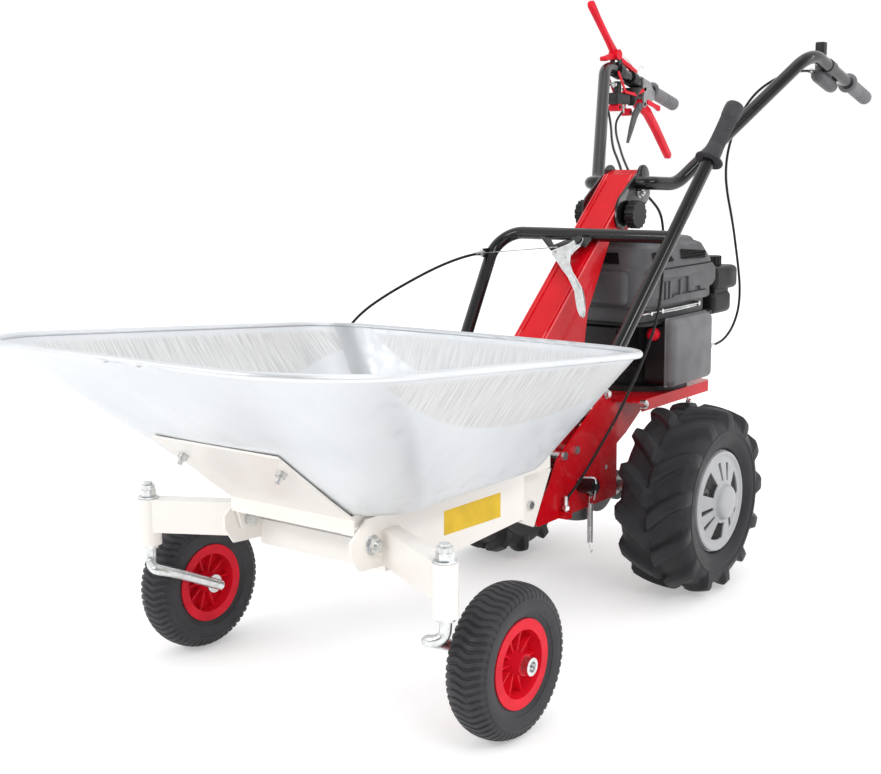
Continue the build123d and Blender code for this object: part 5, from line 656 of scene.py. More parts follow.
# %% Front tyres
RIBS = 58
STEPS_PER_RIB = 6
GROOVE_STEPS = 2  # of those, the ones in the groove
RIB_DEPTH = 0.0034
RIB_WAVE = 0.0032
WAVES = 1.5  # half waves from the middle of the tread to its edge
TREAD_HALF = 0.0335
FRONT_R = 0.130
FRONT_HALF = 0.038
FRONT_BEAD = [(-0.022, 0.066), (0.022, 0.066)]
CROWN_DROP = 0.0105  # of the tread, from its middle to its edge
FRONT_BEND = 2.6  # a higher power keeps the middle flatter
RIB_ZONE = (0.1105, 0.0375)  # ribs start at this radius, and end this far from the middle


def front_section():
    """The tyre's closed section: bead, bulging wall with two mould rings, and a crowned tread."""
    wall = [
        (0.0265, 0.0625), (0.0290, 0.0740), (0.0318, 0.0800), (0.0345, 0.0850), (0.0356, 0.0852),
        (0.0358, 0.0866), (0.0368, 0.0900), (0.0378, 0.0960), (FRONT_HALF, 0.1010), (0.0379, 0.1055),
        (0.0386, 0.1062), (0.0384, 0.1078), (0.0372, 0.1092), (0.0360, 0.1128),
    ]
    count = 24
    tread = []
    for index in range(count + 1):
        across = TREAD_HALF * (1 - 2 * index / count)
        share = abs(across) / TREAD_HALF
        tread.append((across, FRONT_R - CROWN_DROP * share**FRONT_BEND))
    left = [(-across, radius) for across, radius in reversed(wall)]
    return wall + tread + left + FRONT_BEAD


def front_tyre(side):
    """One front tyre with its ribs pressed in and bent."""
    shape = spun(front_section(), RIBS * STEPS_PER_RIB, closed=True)
    step_angle = 2 * pi / (RIBS * STEPS_PER_RIB)
    for vertex in shape.verts:
        radius = Vector((vertex.co.x, vertex.co.z)).length
        if radius < RIB_ZONE[0] or abs(vertex.co.y) > RIB_ZONE[1]:
            continue
        turned = Vector((vertex.co.x, vertex.co.z)).angle_signed(Vector((1, 0))) % (2 * pi)
        step = round(turned / step_angle)
        if step % STEPS_PER_RIB < GROOVE_STEPS:
            press = 1 - RIB_DEPTH / radius
            vertex.co.x *= press
            vertex.co.z *= press
        bend = RIB_WAVE * sin(vertex.co.y / TREAD_HALF * WAVES * pi) / radius
        vertex.co = Matrix.Rotation(bend, 3, "Y") @ vertex.co
    low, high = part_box("front_tyre_" + side)
    bmesh.ops.translate(shape, verts=shape.verts, vec=(low + high) / 2)
    wheel = "front_wheel_" + side
    return make_piece("front_tread_" + side, shape, FRONT_TYRE_PAINTED_LIGHT, wheel, 28, "front_tyre_" + side)


front_treads = [front_tyre("left"), front_tyre("right")]
print("Front tyres:", [len(tread.data.polygons) for tread in front_treads], "faces")

# %% [markdown]
# ## Rear tyres
# The drive tyres carry heavy curved lugs, and rubber leaves its mould only if the lugs have soft flanks.
# The carcass and the lug tops are two sections with the same number of points. The carcass is spun, and
# then each point moves towards the lug section by the height of a lug at its place, which rounds the
# flanks and the ends by itself.

# %% Rear tyres
LUGS = 13  # on each half of the tread
STEPS_PER_LUG = 32
LUG_HALF = 0.0095
LUG_FLANK = 0.0100
LUG_LEAN = (1.10, 0.50)  # of a lug to the axle, at the middle and at the shoulder
LUG_DRIFT = 0.039  # of a lug round the tread, from the middle to half way out
LUG_OVERLAP = 0.007  # of a lug past the middle of the tread
LUG_RISE = 0.011  # length of its rounded inner end
TREAD_R = 0.195
GROOVE_R = 0.1875
LUG_R = 0.2030
REAR_BEND = 2.4
REAR_HALF = 0.0825
LUG_FROM_R = 0.155
BEAD = [(-0.046, 0.116), (0.046, 0.116)]
REAR_PLACE = Vector((-0.2375, 0.2485, 0.203))
SIDE_WALL = [
    (0.0580, 0.1035), (0.0630, 0.1080), (0.0668, 0.1135), (0.0690, 0.1140), (0.0700, 0.1165),
    (0.0742, 0.1240), (0.0778, 0.1330), (0.0798, 0.1420), (0.0802, 0.1490), (0.0816, 0.1502),
    (0.0818, 0.1530), (0.0806, 0.1542),
]
GROOVE_SHOULDER = [(0.0798, 0.1580), (0.0782, 0.1640), (0.0750, 0.1705), (0.0700, 0.1765), (0.0636, 0.1806)]
LUG_SHOULDER = [(0.0818, 0.1580), (0.0824, 0.1660), (0.0824, 0.1765), (0.0806, 0.1862), (0.0752, 0.1926)]
CROWN_POINTS = 14


def crown(start, edge_r, middle_r):
    """Half of the tread's crown, from a point near the shoulder to the middle."""
    places = [start * (1 - step / CROWN_POINTS) for step in range(1, CROWN_POINTS + 1)]
    return [(place, middle_r - (middle_r - edge_r) * (place / start) ** REAR_BEND) for place in places]


def both_halves(half):
    """A section from its outer half, whose last point is in the middle."""
    return half + [(-across, radius) for across, radius in reversed(half[:-1])]


def smooth(share):
    """An even rise from zero to one."""
    share = min(max(share, 0.0), 1.0)
    return share * share * (3 - 2 * share)


def lug_height(across, turn):
    """One on top of a lug, zero on the carcass, at a place across the tread and a turn of the wheel."""
    pitch = 2 * pi / LUGS
    highest = 0.0
    for half, start in ((1, 0.0), (-1, 0.5)):
        out = across * half
        steep = LUG_LEAN[0] - (LUG_LEAN[0] - LUG_LEAN[1]) * max(out, 0) / REAR_HALF
        drift = (LUG_LEAN[0] + steep) / 2 * out - LUG_DRIFT
        share = (turn + drift / TREAD_R) / pitch - start
        away = abs(share - round(share)) * pitch * TREAD_R / (1 + steep * steep) ** 0.5
        flank = smooth((LUG_HALF + LUG_FLANK - away) / LUG_FLANK)
        highest = max(highest, flank * smooth((out + LUG_OVERLAP) / LUG_RISE))
    return highest


def rear_tyre():
    """The left tyre about its own middle."""
    low = both_halves(SIDE_WALL + GROOVE_SHOULDER + crown(*GROOVE_SHOULDER[-1], GROOVE_R))
    high = both_halves(SIDE_WALL + LUG_SHOULDER + crown(*LUG_SHOULDER[-1], LUG_R))
    rises = {}
    for (y, r), (top_y, top_r) in zip(low, high):
        if r > LUG_FROM_R:
            rises[round(y, 5)] = (top_y - y, top_r - r)
    shape = spun(low + BEAD, LUGS * STEPS_PER_LUG, closed=True)
    for vertex in shape.verts:
        radius = Vector((vertex.co.x, vertex.co.z)).length
        if radius < LUG_FROM_R:
            continue
        out, up = rises[round(vertex.co.y, 5)]
        height = lug_height(vertex.co.y, atan2(vertex.co.x, vertex.co.z))
        grow = 1 + height * up / radius
        vertex.co = (vertex.co.x * grow, vertex.co.y + height * out, vertex.co.z * grow)
    return shape


for side_name, side in SIDES:
    shape = rear_tyre()
    bmesh.ops.scale(shape, verts=shape.verts, vec=(1, side, 1))
    bmesh.ops.translate(shape, verts=shape.verts, vec=to_side(side, REAR_PLACE)[0])
    bmesh.ops.recalc_face_normals(shape, faces=shape.faces)
    tread = make_piece("rear_tread_" + side_name, shape, TYRE, "drive_wheels", 60, "rear_tyre_" + side_name)
print("Rear tyres:", len(tread.data.polygons), "faces each")

# %% [markdown]
# ## Wheel covers
# A silver cover closes each rear wheel: a rolled ring at the bead, a shallow cone with three wide openings
# and three pairs of slots, and a domed boss. The profile is spun in steps of two degrees, the faces inside
# an opening are taken out, and the sheet gets its thickness afterwards, so the edges of the openings close.

# %% Wheel covers
COVER_STEPS = 180
COVER_SHEET = 0.003
WINDOW_R = (0.0465, 0.0845)
FIRST_WINDOW = radians(51)
WINDOW_HALF = radians(19)
SLOT_OFF = radians(12.5)
SLOT_HALF = radians(4)
WHEEL_COVER = [
    (0.0610, 0.1065), (0.0670, 0.1085), (0.0712, 0.1075), (0.0728, 0.1045), (0.0722, 0.1010),
    (0.0700, 0.0985), (0.0690, 0.0955), (0.0692, 0.0900), (0.0700, 0.0845), (0.0722, 0.0740),
    (0.0742, 0.0640), (0.0762, 0.0540), (0.0778, 0.0465), (0.0788, 0.0420), (0.0796, 0.0392),
    (0.0815, 0.0374), (0.0866, 0.0366), (0.0902, 0.0344), (0.0928, 0.0296), (0.0944, 0.0200),
    (0.0950, 0.0090), (0.0950, 0.0),
]


def in_opening(place):
    """True for a place on the cover that lies in a window or a slot."""
    radius = Vector((place.x, place.z)).length
    if not WINDOW_R[0] < radius < WINDOW_R[1]:
        return False
    third = 2 * pi / 3
    turn = (atan2(place.x, place.z) - FIRST_WINDOW + third / 2) % third - third / 2
    from_pair = third / 2 - abs(turn)
    return abs(turn) < WINDOW_HALF or abs(from_pair - SLOT_OFF) < SLOT_HALF


covers = []
for side in (1, -1):
    shape = spun(WHEEL_COVER, COVER_STEPS)
    cut = [face for face in shape.faces if in_opening(face.calc_center_median())]
    bmesh.ops.delete(shape, geom=cut, context="FACES")
    bmesh.ops.scale(shape, verts=shape.verts, vec=(1, side, 1))
    bmesh.ops.recalc_face_normals(shape, faces=shape.faces)
    bmesh.ops.solidify(shape, geom=shape.faces[:], thickness=COVER_SHEET)
    bmesh.ops.translate(shape, verts=shape.verts, vec=to_side(side, REAR_PLACE)[0])
    covers.append(shape)
wheel_covers = make_piece("wheel_covers", joined(*covers), SILVER, "drive_wheels", 40, node="hub_caps")
print("Wheel covers:", len(wheel_covers.data.polygons), "faces")

# %% [markdown]
# ## Grips
# Rubber grips are turned shapes with something for the fingers: the tipping handle's grip has fine flutes
# along its waist and a guard ring at its foot, and the handlebar grips have a few deep rings and a guard in
# front. A profile is spun, the flutes are pressed in between its steps, and the result is swung into line
# with its tube.

# %% Grips
def stand_along(shape, start, way):
    """Turns a spun shape so that its Y axis points along a way, from a start point."""
    swing = Vector((0, 1, 0)).rotation_difference(way).to_matrix()
    bmesh.ops.rotate(shape, verts=shape.verts, cent=(0, 0, 0), matrix=swing)
    bmesh.ops.translate(shape, verts=shape.verts, vec=start)


LEG_TOP = Vector((-0.3926, 0.2580, 1.0350))
LEG_WAY = Vector((-0.767, 0.137, 1.0)).normalized()
TIP_STEPS = 72
FLUTE_DEPTH = 0.0012
STEPS_PER_FLUTE = 3
FLUTED = (0.0375, 0.1105)  # from and to, along the grip
FLUTED_R = 0.016  # the bore is inside this radius and stays round
GRIP_PROUD = 0.003  # of the grip's end past the end of the tube
TIP_PROFILE = [
    (0.0, 0.0), (0.0, 0.0150), (0.0012, 0.0185), (0.0045, 0.0203), (0.0150, 0.0208), (0.0300, 0.0203),
    (0.0360, 0.0190), (0.0370, 0.0188), (0.0380, 0.0187), (0.0650, 0.0179), (0.0900, 0.0176),
    (0.1050, 0.0179), (0.1100, 0.0181), (0.1110, 0.0185), (0.1250, 0.0193), (0.1400, 0.0197),
    (0.1425, 0.0215), (0.1435, 0.0285), (0.1455, 0.0310), (0.1480, 0.0307), (0.1500, 0.0270),
    (0.1500, 0.0143), (0.0040, 0.0143), (0.0040, 0.0),
]
shape = spun(TIP_PROFILE, TIP_STEPS)
for vertex in shape.verts:
    radial = Vector((vertex.co.x, vertex.co.z))
    if FLUTED[0] < vertex.co.y < FLUTED[1] and radial.length > FLUTED_R:
        step = round((radial.angle_signed(Vector((1, 0))) % (2 * pi)) / (2 * pi) * TIP_STEPS)
        if step % STEPS_PER_FLUTE == 0:
            press = 1 - FLUTE_DEPTH / radial.length
            vertex.co.x *= press
            vertex.co.z *= press
stand_along(shape, LEG_TOP + LEG_WAY * GRIP_PROUD, -LEG_WAY)
tip_rubber = make_piece("tip_rubber", shape, GRIP, "tipping_tray", node="tip_grip")

HAND_END = Vector((-1.1170, 0.27293, 1.06612))
HAND_WAY = Vector((0.9662, 0.0133, 0.2573)).normalized()
HAND_STEPS = 48
RINGS = 5
RING_PITCH = 0.0125
FIRST_RING = 0.0140
hand_profile = [(0.0, 0.0), (0.0, 0.0120), (0.0012, 0.0150), (0.0040, 0.0170), (0.0080, 0.0175)]
for ring in range(RINGS):
    along = FIRST_RING + ring * RING_PITCH
    hand_profile += [(along, 0.0176), (along + 0.0006, 0.0157)]
    hand_profile += [(along + 0.0026, 0.0157), (along + 0.0032, 0.0176)]
hand_profile += [
    (0.0850, 0.0178), (0.1050, 0.0172), (0.1180, 0.0174), (0.1240, 0.0172), (0.1290, 0.0178),
    (0.1312, 0.0200), (0.1322, 0.0236), (0.1340, 0.0245), (0.1360, 0.0240), (0.1370, 0.0215),
    (0.1370, 0.0153), (0.0055, 0.0153), (0.0055, 0.0),
]
shape = spun(hand_profile, HAND_STEPS)
stand_along(shape, HAND_END, HAND_WAY)
both = bmesh.ops.duplicate(shape, geom=shape.verts[:] + shape.edges[:] + shape.faces[:])["geom"]
other = [part for part in both if isinstance(part, bmesh.types.BMVert)]
bmesh.ops.scale(shape, verts=other, vec=(1, -1, 1))
bmesh.ops.recalc_face_normals(shape, faces=shape.faces)
hand_rubber = make_piece("hand_rubber", shape, HAND_GRIP_PAINTED_LIGHT, "handlebar", node="handlebar_grips")
print("Grips:", len(tip_rubber.data.polygons), "and", len(hand_rubber.data.polygons), "faces")

# %% [markdown]
# ## The hanging spring
# A tension spring hangs by its hook from the ring of the coupler, ready for another tool. Its wire is one
# helix with close turns, so the turns come from a loop: twelve points a turn on a NURBS curve, with a hook
# at each end.

# %% Hanging spring
RING_FOOT = Vector((-0.0765, 0.094, 0.215))
COIL_R = 0.0056
WIRE_R = 0.0009
COIL_PITCH = 0.0023
COIL_TURNS = 38
COIL_TOP = 0.199
HOOK_R = 0.0034
HOOK_LEGS = (0.005, 0.006)
TAIL_R = 0.005
TAIL_GAP = 0.010
TAIL_LEG = 0.008
POINTS_PER_TURN = 12

wire = []
for step in range(5):
    angle = pi - pi * step / 4
    wire.append(RING_FOOT + Vector((HOOK_R * cos(angle), 0, HOOK_R * sin(angle))))
first_leg, second_leg = [Vector((0, 0, leg)) for leg in HOOK_LEGS]
wire = [wire[0] - first_leg] + wire + [wire[-1] - second_leg]
for step in range(COIL_TURNS * POINTS_PER_TURN + 1):
    angle = 2 * pi * step / POINTS_PER_TURN
    height = COIL_TOP - COIL_PITCH * step / POINTS_PER_TURN
    wire.append(Vector((RING_FOOT.x + COIL_R * cos(angle), RING_FOOT.y + COIL_R * sin(angle), height)))
tail = Vector((RING_FOOT.x, RING_FOOT.y, COIL_TOP - COIL_PITCH * COIL_TURNS - TAIL_GAP))
wire += [tail, tail - Vector((0, 0, TAIL_LEG))]
for step in range(1, 5):
    angle = -pi * step / 4
    wire.append(tail + Vector((TAIL_R * (cos(angle) - 1), 0, -TAIL_LEG + TAIL_R * sin(angle))))
line = smooth_line("spring_wire", wire, WIRE_R)
line.splines[0].resolution_u = 2
line.materials.append(ZINC)
place_piece("spring_wire", line, "spring", "hang_spring")
print("Spring:", len(wire), "points")

# %% [markdown]
# ## Engine cover
# The moulded cover over the engine is a stack of rounded outlines, wide at the shoulder and drawn in to a
# low crown. Its skirt stands back, so that the controls under it have room. Each outline is a ring of
# points, and faces join each ring to the next. A proud panel on each side gives the cover its stepped lower
# edge, and short ribs stiffen the recess under it.

# %% Cover
AXLE = -0.2375  # the rear axle on the X axis; stations along the engine are easier to read from it
CORNER_STEPS = 7


def outline_ring(shape, rear, front, half, corner, height):
    """A level ring of points: a rectangle from rear to front, with round corners."""
    points = []
    corners = ((front, half, 0), (rear, half, 1), (rear, -half, 2), (front, -half, 3))
    for x, y, quarter in corners:
        middle_x = x - corner if quarter in (0, 3) else x + corner
        middle_y = y - corner if quarter in (0, 1) else y + corner
        for step in range(CORNER_STEPS):
            angle = (quarter + step / (CORNER_STEPS - 1)) * pi / 2
            place = (AXLE + middle_x + corner * cos(angle), middle_y + corner * sin(angle), height)
            points.append(shape.verts.new(place))
    return points


def stacked(levels):
    """A closed shell through rings given as rear, front, half width, corner radius and height."""
    shape = bmesh.new()
    rings = [outline_ring(shape, *level) for level in levels]
    for low, high in zip(rings, rings[1:]):
        for index in range(len(low)):
            after = (index + 1) % len(low)
            shape.faces.new((low[index], low[after], high[after], high[index]))
    shape.faces.new(rings[0])
    shape.faces.new(rings[-1])
    bmesh.ops.recalc_face_normals(shape, faces=shape.faces)
    return shape


COVER = [
    (-0.366, -0.030, 0.098, 0.034, 0.5665),
    (-0.366, -0.030, 0.098, 0.034, 0.598),
    (-0.374, -0.022, 0.110, 0.040, 0.600),
    (-0.377, -0.019, 0.1125, 0.042, 0.603),
    (-0.377, -0.019, 0.1125, 0.042, 0.680),
    (-0.376, -0.020, 0.1165, 0.044, 0.684),
    (-0.375, -0.022, 0.1150, 0.044, 0.690),
    (-0.362, -0.042, 0.0970, 0.042, 0.726),
    (-0.358, -0.047, 0.0930, 0.040, 0.729),
    (-0.346, -0.064, 0.0820, 0.036, 0.734),
    (-0.341, -0.070, 0.0780, 0.034, 0.741),
    (-0.334, -0.078, 0.0710, 0.032, 0.7445),
    (-0.322, -0.092, 0.0600, 0.028, 0.7458),
]
make_piece("engine_cover", stacked(COVER), DARK_PLASTIC_PAINTED_SHEEN, "chassis", 40, node="engine_shroud")
print("Cover of", len(COVER), "rings")

# %% [markdown]
# ### Side panels and ribs
# A flat outline pushed out by its thickness makes most of the small parts from here on, with the edges
# that face out rounded off.

# %% Side panels
def soften(shape, edges, radius, segments):
    """Rounds these edges off."""
    bmesh.ops.bevel(
        shape, geom=edges, offset=radius, offset_type="OFFSET", affect="EDGES", segments=segments,
        profile=0.5, material=-1,
    )


def slab(outline, near, far, round_off=0.0, both=False):
    """A flat outline of X and Z, with X from the axle, pushed from one Y to another."""
    shape = bmesh.new()
    base = shape.faces.new([shape.verts.new((AXLE + x, near, z)) for x, z in outline])
    pushed = bmesh.ops.extrude_face_region(shape, geom=[base])["geom"]
    outer = [part for part in pushed if isinstance(part, bmesh.types.BMVert)]
    bmesh.ops.translate(shape, verts=outer, vec=(0, far - near, 0))
    bmesh.ops.recalc_face_normals(shape, faces=shape.faces)
    if round_off:
        edges = [edge for edge in shape.edges if all(vert in outer for vert in edge.verts)]
        if both:
            edges += [edge for edge in shape.edges if not any(vert in outer for vert in edge.verts)]
        soften(shape, edges, round_off, 2)
    return shape


SIDE_PANEL = [
    (-0.350, 0.680), (-0.366, 0.668), (-0.366, 0.640), (-0.352, 0.629), (-0.318, 0.6215), (-0.290, 0.6215),
    (-0.286, 0.630), (-0.262, 0.632), (-0.258, 0.622), (-0.230, 0.622), (-0.229, 0.657), (-0.130, 0.6605),
    (-0.050, 0.656), (-0.042, 0.672), (-0.054, 0.680),
]
LEDGE = [(-0.322, 0.601), (-0.100, 0.601), (-0.094, 0.612), (-0.152, 0.614), (-0.162, 0.619), (-0.322, 0.619)]
RECESS_RIBS = (-0.108, -0.127, -0.146, -0.196)
COVER_WALL = 0.111  # Y of the wall behind the panels, and then of what stands on it
PANEL_FACE = 0.1175
RIB_FACE = 0.1165
LEDGE_FACE = 0.1185
for side_name, side in SIDES:
    inner = side * COVER_WALL
    shapes = [slab(SIDE_PANEL, inner, side * PANEL_FACE, 0.0015)]
    for x in RECESS_RIBS:
        rib = [(x - 0.005, 0.606), (x + 0.005, 0.606), (x + 0.004, 0.652), (x - 0.004, 0.652)]
        shapes.append(slab(rib, inner, side * RIB_FACE, 0.001))
    shapes.append(slab(LEDGE, inner, side * LEDGE_FACE, 0.0015))
    make_piece(f"cover_side_{side_name}", joined(*shapes), DARK_PLASTIC_PAINTED_SHEEN, "chassis")
print("Side panels with", len(RECESS_RIBS), "ribs each")

# %% [markdown]
# ### Grilles
# Cooling air enters through honeycomb panels in the sloping upper faces. One hexagon is placed again and
# again until the cells touch, every cell is inset to leave its wall, the cells are taken out and the walls
# get a depth. A black plate behind them, painted shade for the dark space behind the cells, closes the view
# into the cover, and a thin upright rim stands round the cells.

# %% Grille panels
CELL = 0.0078
CELL_WALL = 0.0024
GRILLE_DEPTH = 0.0024
TRIM_WIDTH = 0.0022  # as meant; a new face has no normal, so the inset leaves the rim with no width
TRIM_DEPTH = 0.0030
PLATE_DEPTH = 0.0005
LAYER_LIFT = (0.0006, 0.0028, 0.0002)  # of the plate, the cells and the rim over the cover


def honeycomb(corners):
    """A flat honeycomb panel in the XY plane, cut to an outline given anticlockwise."""
    shape = bmesh.new()
    radius = CELL / 3**0.5
    low = Vector((min(x for x, y in corners), min(y for x, y in corners)))
    high = Vector((max(x for x, y in corners), max(y for x, y in corners)))
    for row in range(int((high.y - low.y) / (1.5 * radius)) + 3):
        for column in range(int((high.x - low.x) / CELL) + 3):
            place = Vector((low.x + (column - 1 + (row % 2) / 2) * CELL, low.y + (row - 1) * 1.5 * radius, 0))
            turned = Matrix.Translation(place) @ Matrix.Rotation(pi / 6, 4, "Z")
            bmesh.ops.create_circle(shape, cap_ends=True, segments=6, radius=radius, matrix=turned)
    bmesh.ops.remove_doubles(shape, verts=shape.verts, dist=CELL / 50)
    cells = shape.faces[:]
    bmesh.ops.inset_individual(shape, faces=cells, thickness=CELL_WALL / 2)
    bmesh.ops.delete(shape, geom=cells, context="FACES")
    for (x, y), (next_x, next_y) in zip(corners, corners[1:] + corners[:1]):
        everything = shape.verts[:] + shape.edges[:] + shape.faces[:]
        out = (next_y - y, x - next_x, 0)
        bmesh.ops.bisect_plane(shape, geom=everything, plane_co=(x, y, 0), plane_no=out, clear_outer=True)
    bmesh.ops.solidify(shape, geom=shape.faces[:], thickness=GRILLE_DEPTH)
    return shape


def panel_plate(corners):
    """A flat face in the XY plane with the panel's outline."""
    shape = bmesh.new()
    shape.faces.new([shape.verts.new((x, y, 0)) for x, y in corners])
    return shape


def panel_trim(corners):
    """The rim of a panel, as flat faces that have no width."""
    shape = panel_plate(corners)
    plate = shape.faces[:]
    bmesh.ops.inset_region(shape, faces=plate, thickness=TRIM_WIDTH, use_boundary=True)
    bmesh.ops.delete(shape, geom=plate, context="FACES")
    return shape


def thicken(shape, depth):
    """Gives flat faces a depth along Z, as a closed body."""
    lifted = bmesh.ops.extrude_face_region(shape, geom=shape.faces[:])["geom"]
    raised = [part for part in lifted if isinstance(part, bmesh.types.BMVert)]
    bmesh.ops.translate(shape, verts=raised, vec=(0, 0, depth))
    bmesh.ops.recalc_face_normals(shape, faces=shape.faces)
    return shape


def lay_on(shape, middle, along, out):
    """Moves a shape from the XY plane to a sloping face: its X along it, its Z out of it."""
    up = Vector(out).normalized()
    ahead = Vector(along).normalized()
    axes = Matrix((ahead, up.cross(ahead), up)).transposed()
    bmesh.ops.transform(shape, matrix=Matrix.Translation(middle) @ axes.to_4x4(), verts=shape.verts)


SHOULDER = COVER[6]
CROWN_EDGE = COVER[7]
REAR_PANEL = [(-0.066, -0.011), (0.046, -0.016), (0.062, 0.000), (-0.052, 0.012)]
FRONT_PANEL = [(-0.050, -0.013), (0.040, -0.013), (0.030, 0.012), (-0.040, 0.012)]
NOSE_PANEL = [(-0.052, -0.013), (0.052, -0.013), (0.042, 0.013), (-0.042, 0.013)]


def add_grille(name, corners, middle, along, out):
    """A honeycomb panel, the black plate of painted shade behind it and the rim round it, on one sloping
    face.
    """
    lift = Vector(out).normalized()
    layers = (
        # The back layer is a black plate of painted shade under the cells.
        ("back", thicken(panel_plate(corners), -PLATE_DEPTH), BLACK_PLASTIC),
        ("cells", honeycomb(corners), BLACK_PLASTIC),
        ("trim", thicken(panel_trim(corners), TRIM_DEPTH), DARK_PLASTIC_PAINTED_SHEEN),
    )
    for (layer, shape, material), height in zip(layers, LAYER_LIFT):
        lay_on(shape, middle + lift * height, along, out)
        make_piece(f"grille_{name}_{layer}", shape, material, "chassis")


for side_name, side in SIDES:
    out = Vector((0, side * (CROWN_EDGE[4] - SHOULDER[4]), SHOULDER[2] - CROWN_EDGE[2]))
    half = side * (SHOULDER[2] + CROWN_EDGE[2]) / 2
    level = (SHOULDER[4] + CROWN_EDGE[4]) / 2
    turned = [(-x, y) for x, y in REAR_PANEL][::-1]
    rear_outline = REAR_PANEL if side > 0 else turned
    add_grille(f"rear_{side_name}", rear_outline, Vector((AXLE - 0.268, half, level)), (-side, 0, 0), out)
    add_grille(f"front_{side_name}", FRONT_PANEL, Vector((AXLE - 0.122, half, level)), (-side, 0, 0), out)
nose_x = AXLE + (SHOULDER[1] + CROWN_EDGE[1]) / 2
nose_out = (CROWN_EDGE[4] - SHOULDER[4], 0, SHOULDER[1] - CROWN_EDGE[1])
add_grille("nose", NOSE_PANEL, Vector((nose_x, 0, level)), (0, 1, 0), nose_out)
print("Grille panels: 5")

# %% [markdown]
# ## Fuel tank, air box cover and control rod
# The tank is blow moulded as two lobes, the upper one set back. The air box cover is a deep tray with
# generous round edges. A bulge stands on the cover's nose, over the silencer's black can. Between the
# cover's skirt and the air box runs the bright rod of the speed governor.

# %% Tank, air box cover and rod
def rounded_block(low, high, radius, segments=4):
    """A block between two corners, X from the axle, with all its edges rounded."""
    low, high = [Vector((AXLE + x, y, z)) for x, y, z in (low, high)]
    shape = bmesh.new()
    size = high - low
    placed = Matrix.Translation((low + high) / 2) @ Matrix.Diagonal((*size, 1))
    bmesh.ops.create_cube(shape, size=1.0, matrix=placed)
    soften(shape, shape.edges[:], radius, segments)
    return shape


lobes = joined(
    rounded_block((-0.512, 0.014, 0.606), (-0.392, 0.108, 0.6635), 0.014),
    rounded_block((-0.478, 0.014, 0.550), (-0.380, 0.108, 0.603), 0.014),
    rounded_block((-0.470, 0.020, 0.590), (-0.396, 0.102, 0.620), 0.004),
)
make_piece("tank_lobes", lobes, BLACK_PLASTIC, "chassis", 50, node="fuel_tank")

cover_tray = rounded_block((-0.2955, 0.112, 0.4165), (-0.1005, 0.1515, 0.5715), 0.016, 5)
bmesh.ops.bisect_plane(
    cover_tray, geom=cover_tray.verts[:] + cover_tray.edges[:] + cover_tray.faces[:], plane_co=(0, 0.1265, 0),
    plane_no=(0, -1, 0), clear_outer=True,
)
seam = rounded_block((-0.2965, 0.1255, 0.4155), (-0.0995, 0.1305, 0.5725), 0.0022, 2)
make_piece("air_cover", joined(cover_tray, seam), COVER_PLASTIC, "chassis", 50, node="airbox_cover")


def rod_between(start, end, radius, sides=12):
    """A round rod from one place to another, X from the axle."""
    start = Vector(start) + Vector((AXLE, 0, 0))
    end = Vector(end) + Vector((AXLE, 0, 0))
    way = end - start
    turned = Matrix.Translation((start + end) / 2) @ way.to_track_quat("Z", "Y").to_matrix().to_4x4()
    shape = bmesh.new()
    bmesh.ops.create_cone(
        shape, cap_ends=True, segments=sides, radius1=radius, radius2=radius, depth=way.length, matrix=turned
    )
    return shape


def rods(*rows):
    """Several rods in one shape."""
    return joined(*(rod_between(*row) for row in rows))


nose = rounded_block((-0.045, -0.020, 0.604), (-0.003, 0.080, 0.682), 0.015, 5)
make_piece("nose_bulge", nose, DARK_PLASTIC_PAINTED_SHEEN, "chassis", 50)
can = rods(
    ((-0.045, -0.050, 0.526), (-0.045, 0.040, 0.526), 0.036, 48),
    ((-0.045, 0.038, 0.526), (-0.045, 0.043, 0.526), 0.030, 48),
    ((-0.045, 0.018, 0.526), (-0.045, 0.023, 0.526), 0.0375, 48),
)
make_piece("silencer_can", can, BLACK, "chassis", 40)
GOVERNOR_STRIP = [(-0.200, 0.579), (-0.120, 0.581), (-0.120, 0.585), (-0.300, 0.5845), (-0.300, 0.581)]
governor = joined(
    rod_between((-0.302, 0.108, 0.5875), (-0.030, 0.108, 0.5866), 0.0028),
    rod_between((-0.296, 0.098, 0.5875), (-0.296, 0.112, 0.5875), 0.0055),
    rod_between((-0.118, 0.098, 0.5870), (-0.118, 0.112, 0.5870), 0.0055),
    slab(GOVERNOR_STRIP, 0.100, 0.1035),
    rod_between((-0.060, 0.098, 0.5868), (-0.060, 0.116, 0.5868), 0.0048, 6),
)
make_piece("governor_rod", governor, ZINC, "chassis")
print("Tank lobes, air box cover and governor rod")

# %% [markdown]
# ## Hand controls
# The right handle carries three levers on one cluster: a long red one above for reverse, a red one below
# for the clutch, and a dark safety blade. Sheet levers are bent strips with round ends, so a helper draws
# such an outline round a middle line, and the outline is pushed to its thickness with both rims softened.

# %% Strips with round ends
CAP_TURNS = [pi * step / 6 for step in range(1, 6)]


def strip(points, halves):
    """The outline of a bent strip with round ends, from its middle line and half its width at each point."""
    middle = [Vector(point) for point in points]
    runs = [(after - before).normalized() for before, after in zip(middle, middle[1:])]
    ways = [runs[0]] + [(one + two).normalized() for one, two in zip(runs, runs[1:])] + [runs[-1]]
    left, right = [], []
    for place, way, half in zip(middle, ways, halves):
        side = Vector((-way.y, way.x)) * half
        left.append(place + side)
        right.insert(0, place - side)

    def cap(place, way, half):
        side = Vector((-way.y, way.x))
        return [place + (side * cos(turn) + way * sin(turn)) * half for turn in CAP_TURNS]

    return left + cap(middle[-1], ways[-1], halves[-1]) + right + cap(middle[0], -ways[0], halves[0])


def boss(x, z, near, far, radius, sides=24):
    """A round boss across the machine, X from the axle."""
    return rod_between((x, near, z), (x, far, z), radius, sides)


print("Cap of", len(CAP_TURNS), "points")

